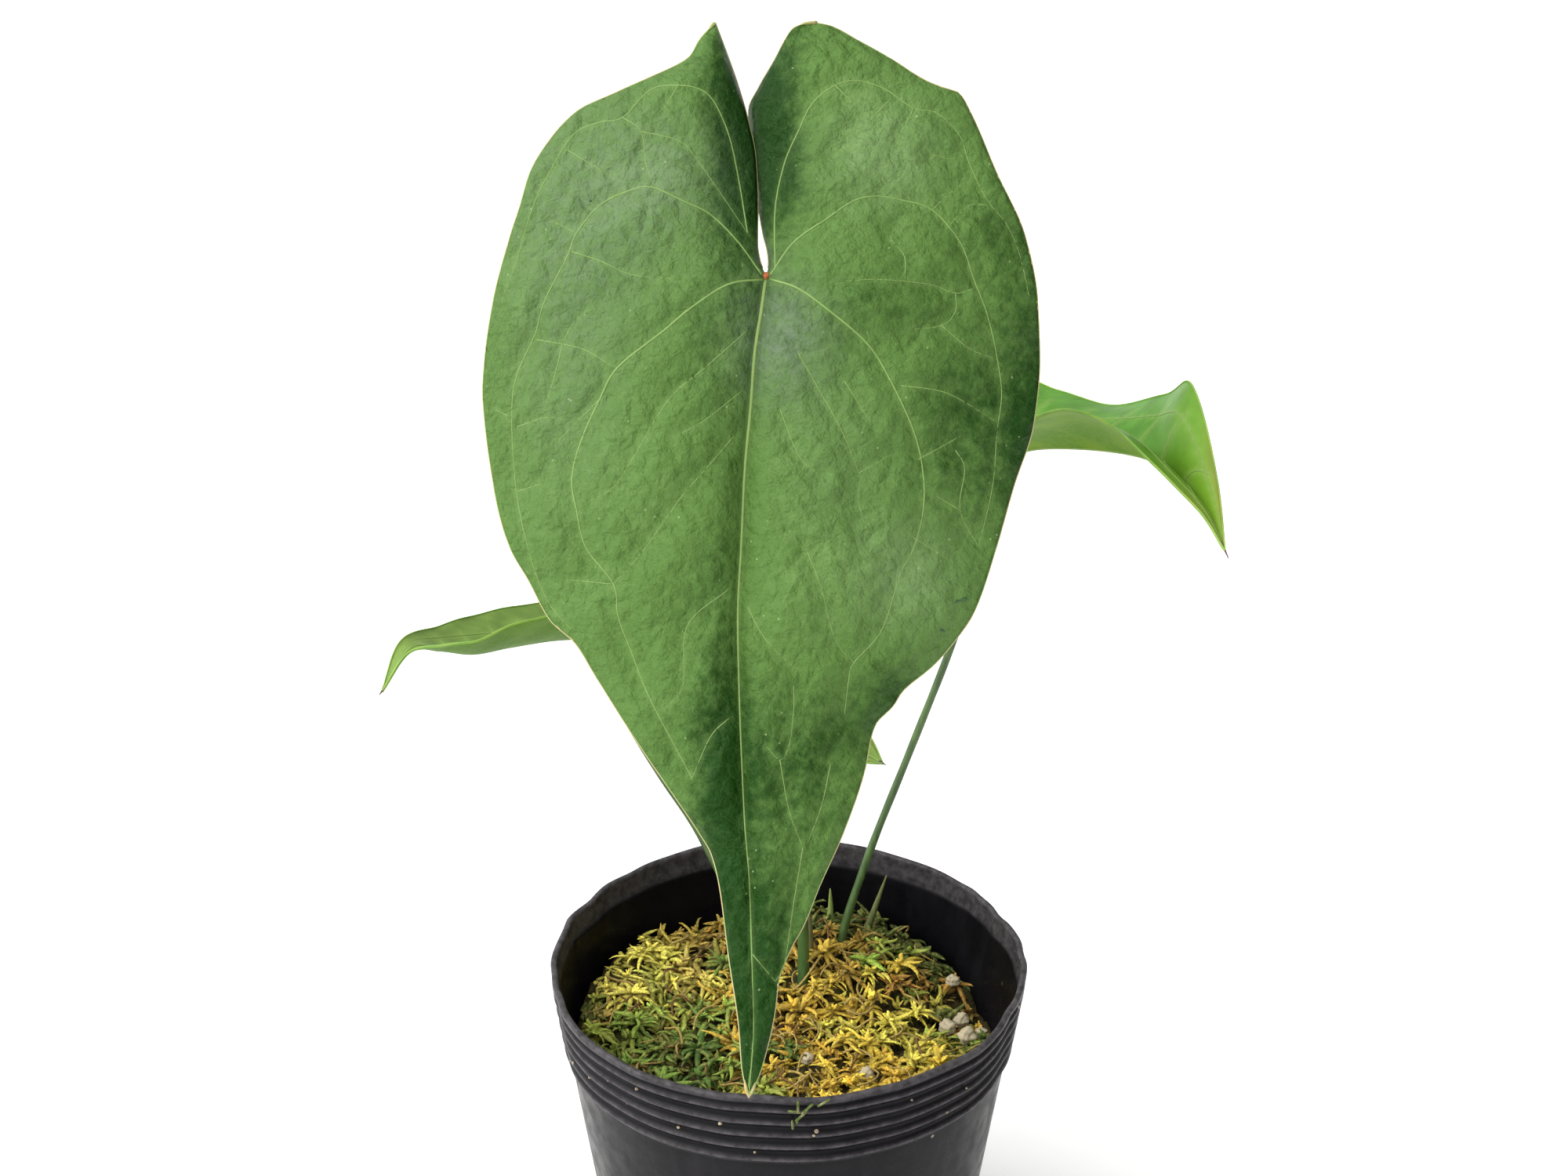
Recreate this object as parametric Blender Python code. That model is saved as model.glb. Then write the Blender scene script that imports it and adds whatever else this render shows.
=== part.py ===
"""A potted anthurium: four heart-shaped leaves on petioles, standing in a moss-topped black nursery pot.

Lengths are millimetres until add_solid writes them as metres. +Z is up, the pot's flat underside is
z = 0, and the largest leaf faces -Y.
"""

import math

import bmesh
import bpy
import numpy as np

MM = 0.001
GAP = 0.3                 # clearance between pieces that touch

# Nursery pot
POT_HEIGHT = 105.0
RIM_RADIUS = 60.0
WALL_TAPER = 0.149        # radius lost for each millimetre going down
WALL = 0.8
LIP_SWELL = 0.8           # the rolled lip stands this far outside the wall
LIP_FOOT = 103.0
BAND_FOOT = 99.5          # inside, the wall is thinner from here to the lip
BAND_STEP = 0.3
RIDGE_FOOT = 83.5
RIDGE_COUNT = 5
RIDGE_PITCH = 3.9
RIDGE_DEPTH = 1.1
FLOOR = 1.0
DRAIN_COUNT = 8
DRAIN_RING = 28.0
DRAIN_RADIUS = 3.5
POT_SIDES = 48

# What fills the pot
MIX_BOTTOM = FLOOR + GAP
MIX_TOP = 72.0
MOSS_BOTTOM = MIX_TOP + GAP
MOSS_LEVEL = 85.0
MOSS_SLACK = 24.0         # stems leave the moss below MOSS_LEVEL plus this
MOSS_LUMPS = ((10, 28, 24, 9.0), (-41, 22, 19, 6.0), (48, 11, 18, -8.0), (8, -30, 22, 1.5))
GRAINS = (
    (43.3, 22.8, 1.8), (45.2, 11.2, 2.1), (41.2, 5.2, 2.1), (46.0, -1.4, 2.4), (50.2, 6.6, 1.5),
    (19.5, -23.0, 2.0), (4.9, -14.4, 1.6),
)

# Crown that the petioles grow from
CROWN_CENTRE = (7.5, 23.0)
CROWN_HALF_WIDTH = 12.5
CROWN_HALF_DEPTH = 14.5
CROWN_BOTTOM = 56.0
CROWN_TOP = 78.5
STEM_FOOT = CROWN_TOP + GAP

# Leaves
BLADE = 0.6               # thickness of every blade
BLADE_CLEARANCE = 0.5     # between a blade and the end of its petiole

# The large leaf lies in a plane facing the viewer, who looks down at 25.5 degrees from this far away
FRONT_JUNCTION = np.array((-4.9, -31.1, 300.1))
FRONT_RIGHT = np.array((1.0, 0.0, 0.0))
FRONT_UP = np.array((0.0, 0.4305, 0.9026))
FRONT_OUT = np.array((0.0, -0.9026, 0.4305))
VIEW_DISTANCE = 660.0
VIEW_FOOT = np.array((3.9, -67.9))

# Outlines of the large leaf, (across, up) from the junction
MIDRIB = (
    (0.0, 0.0), (-1.2, -8.5), (-2.5, -17), (-3.4, -29), (-4.6, -42), (-5.4, -59), (-6.1, -73), (-5.9, -87),
    (-5.4, -102), (-4.6, -119), (-3.6, -132), (-2.9, -153), (-2.7, -164), (-3.7, -178),
)
LEFT_SINUS = (
    (-11.0, 54.5), (-8.7, 48.4), (-6.4, 42), (-3.9, 33.4), (-2.2, 25), (-1.8, 15.3), (-1.9, 7.0), (-1.2, 2.5),
    (0.0, 0.0),
)
LEFT_MARGIN = (
    (-11.0, 54.5), (-14.3, 50.9), (-16.5, 47.2), (-18.5, 45.8), (-25.8, 42.4), (-33.4, 39), (-40.6, 35.6),
    (-47, 28.9), (-51.1, 22), (-53.1, 15.3), (-55.3, 8.5), (-58.9, -5.1), (-60.9, -18.7), (-61.3, -25.5),
    (-60.8, -32.2), (-58.9, -45.8), (-57.5, -52.6), (-55.2, -59.4), (-51.3, -66.2), (-46.7, -74.7),
    (-41.2, -79.8), (-37, -86.6), (-28.5, -100.1), (-19.2, -113.7), (-14.6, -120.5), (-11.7, -125.6),
    (-10, -132.4), (-8, -147.7), (-5.8, -162.9), (-5.1, -172), (-3.7, -178),
)
RIGHT_SINUS = (
    (10.7, 54.5), (8.1, 54.2), (5.9, 53.3), (4.2, 50.9), (2, 46.7), (-1.5, 40.6), (-3.7, 35.6), (-3.2, 28),
    (-1.9, 17), (-0.6, 8.8), (0.4, 4.6), (0.6, 2.0), (0.0, 0.0),
)
RIGHT_MARGIN = (
    (10.7, 54.5), (14, 53.8), (19.5, 50.9), (27, 46.7), (33.8, 42.4), (37, 40.9), (41.6, 39.4), (44, 35.6),
    (49.9, 22), (56, 8.5), (58.7, -5.1), (59.2, -18.7), (57.9, -32.2), (53.6, -45.8), (49.7, -59.4),
    (45, -73), (40.4, -79.8), (36.2, -84.5), (29.4, -90.3), (27.5, -93.3), (23.8, -97.1), (22.7, -100.1),
    (21.4, -106.9), (16.8, -120.5), (11.5, -132.4), (8.1, -140.9), (5.3, -146), (2.7, -152.8),
    (1.9, -159.5), (-1.2, -172.3), (-3.7, -178),
)

# Relief of the large leaf towards the viewer, as (up, height)
MIDRIB_RELIEF = ((0, 0), (-40, -1), (-90, -2.5), (-140, -2), (-178, 0))
LEFT_SINUS_RELIEF = ((54.5, -6), (45, -7), (30, -7.5), (15, -5), (5, -2), (0, 0))
RIGHT_SINUS_RELIEF = ((54.5, -8), (45, -10), (30, -10.5), (15, -7), (5, -3), (0, 0))
LEFT_MARGIN_RELIEF = (
    (54.5, -6), (45, -5), (20, -4), (0, -5), (-40, -7), (-75, -6), (-100, -4.5), (-140, -2.5), (-178, 0),
)
RIGHT_MARGIN_RELIEF = (
    (54.5, -8), (45, -7), (20, -6), (0, -7), (-40, -10), (-75, -8.5), (-95, -9), (-110, -5), (-140, -3),
    (-178, 0),
)
LEFT_SWELL = ((54.5, 0), (45, 5), (30, 8), (0, 7.5), (-40, 7), (-75, 5), (-100, 2.5), (-130, 1), (-178, 0))
RIGHT_SWELL = ((54.5, 0), (45, 5), (30, 8), (0, 7), (-40, 6.5), (-75, 5.5), (-100, 4), (-130, 1.5), (-178, 0))
SWELL_LEAN = 0.65         # below 1 moves the crest of each half towards the midrib
FRONT_LOBE_ROWS = 10
FRONT_BLADE_ROWS = 26
FRONT_COLUMNS = 8

# Smaller leaves. Each half is a list of (inner, outer) stations from lobe end to tip, and the third
# one holds the junction. Both halves share the inner points from there on, which are the midrib.
RIGHT_KEEL = (
    (56.8, 58.3, 220.3), (64.5, 50.0, 225.3), (76.1, 35.6, 230.9), (85.7, 19.1, 235.7), (91.8, 7.2, 236.3),
    (97.6, -7.5, 233.5), (100.3, -20.5, 229.3),
)
RIGHT_NEAR = (
    ((45.0, 75.0, 218.0), (45.0, 75.0, 218.0)), ((50.0, 69.0, 218.8), (40.5, 64.0, 220.0)),
    (None, (43.0, 42.0, 229.0)), (None, (51.5, 22.5, 241.0)), (None, (65.0, 9.5, 252.3)),
    (None, (76.7, 1.6, 250.2)), (None, (85.5, -5.0, 243.5)), (None, (95.0, -13.0, 236.0)),
    (None, (100.3, -20.5, 229.3)),
)
RIGHT_FAR = (
    ((54.0, 88.0, 214.5), (54.0, 88.0, 214.5)), ((54.0, 72.0, 217.8), (57.0, 97.0, 216.5)),
    (None, (63.5, 95.0, 225.0)), (None, (70.5, 84.0, 227.3)), (None, (82.0, 64.5, 231.0)),
    (None, (92.3, 39.0, 244.0)), (None, (96.6, 20.0, 253.0)), (None, (100.0, -3.0, 240.0)),
    (None, (100.3, -20.5, 229.3)),
)
LEFT_KEEL = (
    (-54.1, 60.6, 167.1), (-62.2, 54.0, 169.5), (-71.6, 46.1, 171.6), (-80.2, 39.2, 173.4),
    (-88.2, 33.3, 177.3), (-95.0, 29.2, 179.5), (-101.3, 18.9, 172.5),
)
LEFT_NEAR = (
    ((-45.0, 66.0, 164.5), (-45.0, 66.0, 164.5)), ((-49.5, 63.5, 165.8), (-42.5, 57.0, 169.0)),
    (None, (-46.0, 48.0, 176.5)), (None, (-56.0, 37.8, 184.8)), (None, (-67.9, 30.7, 185.7)),
    (None, (-78.0, 25.2, 183.5)), (None, (-86.0, 24.5, 182.8)), (None, (-95.0, 24.7, 180.3)),
    (None, (-101.3, 18.9, 172.5)),
)
LEFT_FAR = (
    ((-47.0, 82.0, 161.0), (-47.0, 82.0, 161.0)), ((-50.0, 70.0, 164.0), (-49.5, 90.0, 159.5)),
    (None, (-56.0, 91.5, 162.0)), (None, (-64.3, 82.5, 166.6)), (None, (-74.0, 72.5, 169.8)),
    (None, (-83.0, 61.5, 172.6)), (None, (-90.0, 50.5, 175.2)), (None, (-98.0, 34.0, 179.0)),
    (None, (-101.3, 18.9, 172.5)),
)
BACK_KEEL = ((-4.0, 77.0, 134.5), (3.0, 70.0, 136.0), (12.0, 60.5, 137.0), (19.5, 52.5, 137.3), (25.0, 46.0, 137.2))
BACK_NEAR = (
    ((-13.0, 82.0, 133.0), (-13.0, 82.0, 133.0)), ((-8.5, 79.5, 134.0), (-14.5, 75.0, 134.5)),
    (None, (-9.4, 67.8, 136.2)), (None, (-1.0, 58.9, 137.0)), (None, (8.0, 51.6, 137.3)),
    (None, (17.0, 47.6, 137.0)), (None, (25.0, 46.0, 137.2)),
)
BACK_FAR = (
    ((-10.5, 93.0, 132.5), (-10.5, 93.0, 132.5)), ((-7.5, 85.0, 133.5), (-5.5, 100.0, 132.5)),
    (None, (2.0, 97.0, 134.5)), (None, (9.5, 86.0, 137.0)), (None, (16.5, 73.0, 138.3)),
    (None, (22.0, 58.5, 138.3)), (None, (25.0, 46.0, 137.2)),
)

# Stems: name, centre line from crown to blade, radius of the shaft
STEM_SIDES = 10
STEMS = (
    ("front_leaf_petiole", 1.3, (
        (4.0, 13.8, STEM_FOOT), (4.1, 15.8, 86), (3.8, 16.0, 112), (2.6, 9.0, 155), (-0.8, -3.5, 205),
        (-3.6, -14.5, 252), (-4.8, -23.0, 284),
    )),
    ("right_leaf_petiole", 1.0, (
        (13.5, 26.0, STEM_FOOT), (14.0, 31.0, 92), (21.6, 36.4, 116.4), (31.6, 41.3, 143),
        (42.4, 46.5, 172.3), (52.0, 52.5, 202),
    )),
    ("left_leaf_petiole", 1.0, (
        (-1.5, 21.5, STEM_FOOT), (-6.5, 26.5, 88), (-23.0, 44.9, 115.7), (-33.8, 49.5, 132.2),
        (-46.2, 56.0, 152),
    )),
    ("back_leaf_petiole", 0.9, (
        (6.0, 20.4, STEM_FOOT), (5.9, 21.4, 87), (4.8, 30.0, 104), (0.0, 54.0, 120), (-3.0, 70.0, 128.5),
    )),
)
SHEATHS = (
    ("cataphyll_green", 1.5, ((9.3, 33.6, STEM_FOOT), (10.8, 38.5, 88), (11.4, 41.5, 95), (11.3, 42.4, 101))),
    ("cataphyll_olive", 1.3, ((17.0, 31.5, STEM_FOOT), (20.0, 37.6, 88), (23.0, 41.5, 95), (26.4, 46.1, 103))),
)


def new_material(name, colour, roughness):
    material = bpy.data.materials.new(name)
    material.use_nodes = True
    shader = material.node_tree.nodes["Principled BSDF"]
    shader.inputs["Base Color"].default_value = (*colour, 1.0)
    shader.inputs["Roughness"].default_value = roughness
    shader.inputs["Metallic"].default_value = 0.0
    return material


def add_solid(name, points, faces, colour, roughness):
    """Makes a mesh object with outward faces from points in millimetres."""
    mesh = bpy.data.meshes.new(name)
    mesh.from_pydata([tuple(float(v) * MM for v in point) for point in points], [], faces)
    shape = bmesh.new()
    shape.from_mesh(mesh)
    bmesh.ops.recalc_face_normals(shape, faces=shape.faces)
    shape.to_mesh(mesh)
    shape.free()
    mesh.polygons.foreach_set("use_smooth", [True] * len(mesh.polygons))
    mesh.materials.append(new_material(name + "_material", colour, roughness))
    solid = bpy.data.objects.new(name, mesh)
    bpy.context.scene.collection.objects.link(solid)
    return solid


def cut(solid, cutters):
    """Subtracts each cutter from the solid and leaves the result as plain mesh data."""
    for cutter in cutters:
        cutter.hide_render = True
        cutter.display_type = "WIRE"
        step = solid.modifiers.new("cut_" + cutter.name, "BOOLEAN")
        step.operation = "DIFFERENCE"
        step.solver = "EXACT"
        step.object = cutter


def smooth_curve(points, places):
    """Catmull-Rom curve through the points, read at places measured in points from the first."""
    points = np.asarray(points, float)
    padded = np.vstack((2 * points[0] - points[1], points, 2 * points[-1] - points[-2]))
    result = []
    for place in places:
        first = min(int(place), len(points) - 2)
        t = place - first
        a, b, c, d = padded[first:first + 4]
        result.append(
            b + 0.5 * t * (c - a + t * (2 * a - 5 * b + 4 * c - d + t * (3 * (b - c) + d - a)))
        )
    return np.array(result)


def read_at(pairs, place):
    """Value at a place on a falling list of (place, value) pairs."""
    places = [pair[0] for pair in reversed(pairs)]
    values = [pair[1] for pair in reversed(pairs)]
    return float(np.interp(place, places, values))


def revolve(profile, sides):
    """Points and faces of a closed body of revolution whose profile starts and ends on the axis."""
    rings = profile[1:-1]
    points = [(0.0, 0.0, profile[0][1])]
    for radius, height in rings:
        for side in range(sides):
            angle = 2 * math.pi * side / sides
            points.append((radius * math.cos(angle), radius * math.sin(angle), height))
    points.append((0.0, 0.0, profile[-1][1]))
    last = len(points) - 1
    faces = []
    for side in range(sides):
        after = (side + 1) % sides
        faces.append((0, 1 + side, 1 + after))
        for ring in range(len(rings) - 1):
            low = 1 + ring * sides
            high = low + sides
            faces.append((low + side, low + after, high + after, high + side))
        top = 1 + (len(rings) - 1) * sides
        faces.append((top + side, last, top + after))
    return points, faces


def tube(path, radii, sides):
    """Points and faces of a closed tube with a level foot and a rounded far end."""
    path = np.asarray(path, float)
    tangents = np.gradient(path, axis=0)
    tangents[0] = (0.0, 0.0, 1.0)
    tangents /= np.linalg.norm(tangents, axis=1)[:, None]
    centres = list(path)
    radii = list(radii)
    directions = list(tangents)
    for turn in (30, 60):
        centres.append(path[-1] + tangents[-1] * radii[len(path) - 1] * math.sin(math.radians(turn)))
        radii.append(radii[len(path) - 1] * math.cos(math.radians(turn)))
        directions.append(tangents[-1])
    across = np.cross(directions[0], (0.0, 1.0, 0.0))
    points = [tuple(centres[0])]
    for centre, radius, direction in zip(centres, radii, directions):
        across = across - direction * np.dot(across, direction)
        across /= np.linalg.norm(across)
        up = np.cross(direction, across)
        for side in range(sides):
            angle = 2 * math.pi * side / sides
            points.append(centre + radius * (math.cos(angle) * across + math.sin(angle) * up))
    points.append(path[-1] + tangents[-1] * radii[len(path) - 1])
    last = len(points) - 1
    faces = []
    for side in range(sides):
        after = (side + 1) % sides
        faces.append((0, 1 + after, 1 + side))
        for ring in range(len(centres) - 1):
            low = 1 + ring * sides
            high = low + sides
            faces.append((low + side, low + after, high + after, high + side))
        top = 1 + (len(centres) - 1) * sides
        faces.append((top + side, top + after, last))
    return points, faces


def wall_radius(height):
    """Outside radius of the pot's wall between its ridges."""
    return RIM_RADIUS - LIP_SWELL - WALL_TAPER * (POT_HEIGHT - height)


def inner_radius(height):
    return wall_radius(height) - WALL


def pot_profile():
    profile = [(0.0, 0.0), (DRAIN_RING * 0.5, 0.0), (wall_radius(0) - 1.5, 0.0), (wall_radius(0.4) - 0.4, 0.4)]
    profile += [(wall_radius(height), height) for height in (1.6, 25.0, 50.0, 70.0)]
    for step in range(RIDGE_COUNT * 4 + 1):
        height = RIDGE_FOOT + RIDGE_PITCH * step / 4
        swell = RIDGE_DEPTH * math.sin(math.pi * step / 4) ** 2
        profile.append((wall_radius(height) + swell, height))
    lip = wall_radius(POT_HEIGHT)
    profile += [
        (lip + LIP_SWELL - 0.2, LIP_FOOT + 0.5), (lip + LIP_SWELL, LIP_FOOT + 1.2),
        (lip + LIP_SWELL - 0.3, POT_HEIGHT), (lip - 0.5, POT_HEIGHT), (lip - WALL, POT_HEIGHT - 0.6),
    ]
    profile += [(inner_radius(height) + BAND_STEP, height) for height in (LIP_FOOT, BAND_FOOT)]
    profile += [(inner_radius(height), height) for height in (BAND_FOOT - 0.4, 85.0, 60.0, 30.0, FLOOR)]
    profile += [(DRAIN_RING * 0.5, FLOOR), (0.0, FLOOR)]
    return profile


def make_pot():
    pot = add_solid("nursery_pot", *revolve(pot_profile(), POT_SIDES), (0.016, 0.016, 0.018), 0.5)
    drains = []
    for number in range(DRAIN_COUNT):
        angle = 2 * math.pi * (number + 0.5) / DRAIN_COUNT
        points, faces = revolve(
            [(0.0, -2.0), (DRAIN_RADIUS, -2.0), (DRAIN_RADIUS, FLOOR + 2.0), (0.0, FLOOR + 2.0)], 12
        )
        centre = np.array((DRAIN_RING * math.cos(angle), DRAIN_RING * math.sin(angle), 0.0))
        drains.append(
            add_solid(f"drain_cutter_{number + 1}", np.array(points) + centre, faces, (1, 0, 0), 0.5)
        )
    cut(pot, drains)


def make_mix(crown_cutter):
    heights = np.linspace(MIX_BOTTOM, MIX_TOP - 1.0, 6)
    profile = [(0.0, MIX_BOTTOM), (20.0, MIX_BOTTOM)]
    profile += [(inner_radius(height) - GAP, height) for height in heights]
    profile += [(inner_radius(MIX_TOP) - 2.0, MIX_TOP), (25.0, MIX_TOP), (0.0, MIX_TOP)]
    mix = add_solid("potting_mix", *revolve(profile, POT_SIDES), (0.045, 0.026, 0.014), 0.95)
    cut(mix, [crown_cutter])


def moss_height(x, y):
    """Top of the moss: a mound round the crown, a dip by the right wall and gentle lumps."""
    height = MOSS_LEVEL
    for centre_x, centre_y, reach, amount in MOSS_LUMPS:
        height += amount * math.exp(-((x - centre_x) ** 2 + (y - centre_y) ** 2) / reach ** 2)
    height += 0.9 * math.sin(0.31 * x + 1.0) * math.cos(0.27 * y) + 0.6 * math.sin(0.53 * y - 0.37 * x)
    return height


def make_moss(cutters):
    rings = 9
    points = [(0.0, 0.0, moss_height(0.0, 0.0))]
    for ring in range(1, rings + 1):
        for side in range(POT_SIDES):
            angle = 2 * math.pi * side / POT_SIDES
            radius = (inner_radius(MOSS_LEVEL - 2.0) - GAP) * ring / rings
            x, y = radius * math.cos(angle), radius * math.sin(angle)
            height = moss_height(x, y)
            if ring == rings:
                height -= 1.5
                radius = inner_radius(height) - GAP
                x, y = radius * math.cos(angle), radius * math.sin(angle)
            points.append((x, y, height))
    for side in range(POT_SIDES):
        angle = 2 * math.pi * side / POT_SIDES
        radius = inner_radius(MOSS_BOTTOM) - GAP
        points.append((radius * math.cos(angle), radius * math.sin(angle), MOSS_BOTTOM))
    points.append((0.0, 0.0, MOSS_BOTTOM))
    last = len(points) - 1
    faces = []
    for side in range(POT_SIDES):
        after = (side + 1) % POT_SIDES
        faces.append((0, 1 + side, 1 + after))
        for ring in range(rings):
            low = 1 + ring * POT_SIDES
            high = low + POT_SIDES
            faces.append((low + side, low + after, high + after, high + side))
        bottom = 1 + rings * POT_SIDES
        faces.append((bottom + side, last, bottom + after))
    moss = add_solid("moss_layer", points, faces, (0.19, 0.17, 0.035), 0.9)
    cut(moss, cutters)


def crown_profile(extra):
    """Half-depth fractions and heights of the knobbly crown, grown outwards by extra."""
    return (
        (0.0, CROWN_BOTTOM - extra), (0.45, CROWN_BOTTOM - extra), (0.8, CROWN_BOTTOM + 4.0), (1.0, 66.0),
        (0.93, 72.0), (1.0, CROWN_TOP - 1.0), (0.96, CROWN_TOP + extra), (0.0, CROWN_TOP + extra),
    )


def make_crown(name, extra):
    points, faces = revolve(crown_profile(extra), 20)
    wide = CROWN_HALF_WIDTH + extra
    deep = CROWN_HALF_DEPTH + extra
    placed = [(CROWN_CENTRE[0] + x * wide, CROWN_CENTRE[1] + y * deep, z) for x, y, z in points]
    return add_solid(name, placed, faces, (0.11, 0.08, 0.04), 0.8)


def make_stem(name, radius, line, colour):
    """A petiole, and the cutter that makes room for it in the moss."""
    steps = 4 * (len(line) - 1)
    path = smooth_curve(line, [step / 4 for step in range(steps + 1)])
    along = np.linspace(0.0, 1.0, steps + 1)
    radii = radius * (1.0 + 0.6 * np.exp(-along / 0.06) + 0.3 * np.exp(-((1.0 - along) / 0.05) ** 2))
    add_solid(name, *tube(path, radii, STEM_SIDES), colour, 0.45)
    return make_room(name, path, radii)


def make_sheath(name, radius, line, colour):
    """A pointed leaf sheath, and the cutter that makes room for it in the moss."""
    steps = 3 * (len(line) - 1)
    path = smooth_curve(line, [step / 3 for step in range(steps + 1)])
    radii = radius * (1.0 - 0.8 * np.linspace(0.0, 1.0, steps + 1) ** 2)
    add_solid(name, *tube(path, radii, STEM_SIDES), colour, 0.6)
    return make_room(name, path, radii)


def make_room(name, path, radii):
    """A wider copy of the lowest part of a stem, starting below the foot."""
    reach = [number for number in range(len(path)) if path[number][2] < MOSS_LEVEL + MOSS_SLACK]
    start = path[0] - np.array((0.0, 0.0, 2.0))
    room_path = np.vstack((start, path[reach]))
    room_radii = np.concatenate(([radii[0]], radii[reach])) + GAP + 0.1
    return add_solid(name + "_room", *tube(room_path, room_radii, STEM_SIDES), (1, 0, 0), 0.5)


def thicken(points, faces, thickness):
    """Turns an open sheet into a closed body, adding the thickness behind its faces."""
    points = np.asarray(points, float)
    normals = np.zeros_like(points)
    edges = {}
    for face in faces:
        corners = points[list(face)]
        area = np.zeros(3)
        for number in range(len(face)):
            area += np.cross(corners[number], corners[(number + 1) % len(face)])
        for corner in face:
            normals[corner] += area
        for number in range(len(face)):
            edges[(face[number], face[(number + 1) % len(face)])] = True
    normals /= np.linalg.norm(normals, axis=1)[:, None]
    count = len(points)
    body = np.vstack((points, points - normals * thickness))
    closed = list(faces) + [tuple(corner + count for corner in reversed(face)) for face in faces]
    for start, end in edges:
        if (end, start) not in edges:
            closed.append((end, start, start + count, end + count))
    return body, closed


def sheet_from_halves(left, right, junction_row):
    """Joins two half blades, given as rows of points, along the midrib that they share."""
    points = []
    index = {}
    rows = len(left)
    columns = len(left[0])
    for name, half in (("left", left), ("right", right)):
        for row in range(rows):
            for column in range(columns):
                key = (name, row, column)
                if row == rows - 1:
                    key = ("both", row, 0)
                elif row == 0:
                    key = (name, 0, 0)
                elif column == 0 and row >= junction_row:
                    key = ("both", row, 0)
                if key not in index:
                    index[key] = len(points)
                    points.append(half[row][column])
                index[(name, row, column)] = index[key]
    faces = []
    for name in ("left", "right"):
        for row in range(rows - 1):
            for column in range(columns - 1):
                corners = [
                    index[(name, row, column)], index[(name, row + 1, column)],
                    index[(name, row + 1, column + 1)], index[(name, row, column + 1)],
                ]
                face = list(dict.fromkeys(corners))
                if name == "right":
                    face.reverse()
                faces.append(tuple(face))
    return np.array(points), faces


def front_point(across, up, out):
    """World point of the large leaf. Parts that lie further back are spread to keep the outline."""
    spread = 1.0 - out / VIEW_DISTANCE
    across = VIEW_FOOT[0] + (across - VIEW_FOOT[0]) * spread
    up = VIEW_FOOT[1] + (up - VIEW_FOOT[1]) * spread
    return FRONT_JUNCTION + across * FRONT_RIGHT + up * FRONT_UP + out * FRONT_OUT


def front_half(sinus, margin, sinus_relief, margin_relief, swell):
    """Rows of points across one half of the large leaf, from the lobe's top to the tip."""
    top = margin[0][1]
    tip = margin[-1][1]
    levels = [top * math.cos(math.pi / 2 * row / FRONT_LOBE_ROWS) for row in range(FRONT_LOBE_ROWS)]
    levels += [tip * row / FRONT_BLADE_ROWS for row in range(FRONT_BLADE_ROWS + 1)]
    margin_line = [(up, across) for across, up in margin]
    sinus_line = [(up, across) for across, up in sinus]
    midrib_line = [(up, across) for across, up in MIDRIB]
    rows = []
    for level in levels:
        outer = read_at(margin_line, level)
        if level > 1e-6:
            inner = read_at(sinus_line, level)
            inner_out = read_at(sinus_relief, level)
        else:
            inner = read_at(midrib_line, level)
            inner_out = read_at(MIDRIB_RELIEF, level)
        outer_out = read_at(margin_relief, level)
        row = []
        for column in range(FRONT_COLUMNS + 1):
            part = column / FRONT_COLUMNS
            out = inner_out * (1 - part) + outer_out * part
            out += read_at(swell, level) * math.sin(math.pi * part ** SWELL_LEAN)
            row.append(front_point(inner * (1 - part) + outer * part, level, out))
        rows.append(row)
    return rows


def make_front_blade():
    left = front_half(LEFT_SINUS, LEFT_MARGIN, LEFT_SINUS_RELIEF, LEFT_MARGIN_RELIEF, LEFT_SWELL)
    right = front_half(RIGHT_SINUS, RIGHT_MARGIN, RIGHT_SINUS_RELIEF, RIGHT_MARGIN_RELIEF, RIGHT_SWELL)
    sheet = sheet_from_halves(left, right, FRONT_LOBE_ROWS)
    add_solid("front_leaf_blade", *thicken(*sheet, BLADE), (0.17, 0.32, 0.10), 0.35)


def small_half(keel, stations, rows_per_station, columns, bulge):
    """Rows of points across one half of a smaller leaf."""
    places = [number / rows_per_station for number in range(rows_per_station * (len(stations) - 1) + 1)]
    outer = smooth_curve([station[1] for station in stations], places)
    sinus = smooth_curve([stations[0][0], stations[1][0], keel[0]], [place for place in places if place < 2])
    midrib = smooth_curve(keel, [place - 2 for place in places if place >= 2])
    inner = np.vstack((sinus, midrib))
    along = np.gradient(inner, axis=0)
    rows = []
    for start, end, direction in zip(inner, outer, along):
        out = np.cross(direction, end - start)
        size = np.linalg.norm(out)
        out = out / size if size > 1e-9 else np.zeros(3)
        width = np.linalg.norm(end - start)
        row = []
        for column in range(columns + 1):
            part = column / columns
            lift = bulge * width * math.sin(math.pi * part ** 0.8)
            row.append(start * (1 - part) + end * part + out * lift)
        rows.append(row)
    return rows


def make_small_blade(name, keel, near, far, rows_per_station, columns, colour):
    near_rows = small_half(keel, near, rows_per_station, columns, -0.07)
    far_rows = small_half(keel, far, rows_per_station, columns, 0.07)
    sheet = sheet_from_halves(near_rows, far_rows, 2 * rows_per_station)
    add_solid(name, *thicken(*sheet, BLADE), colour, 0.4)


def petiole_end(junction, behind, radius):
    """Centre of the rounded end of a petiole that stops just short of its blade."""
    return np.asarray(junction) - np.asarray(behind) * (BLADE + BLADE_CLEARANCE + radius * 1.3)


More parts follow.
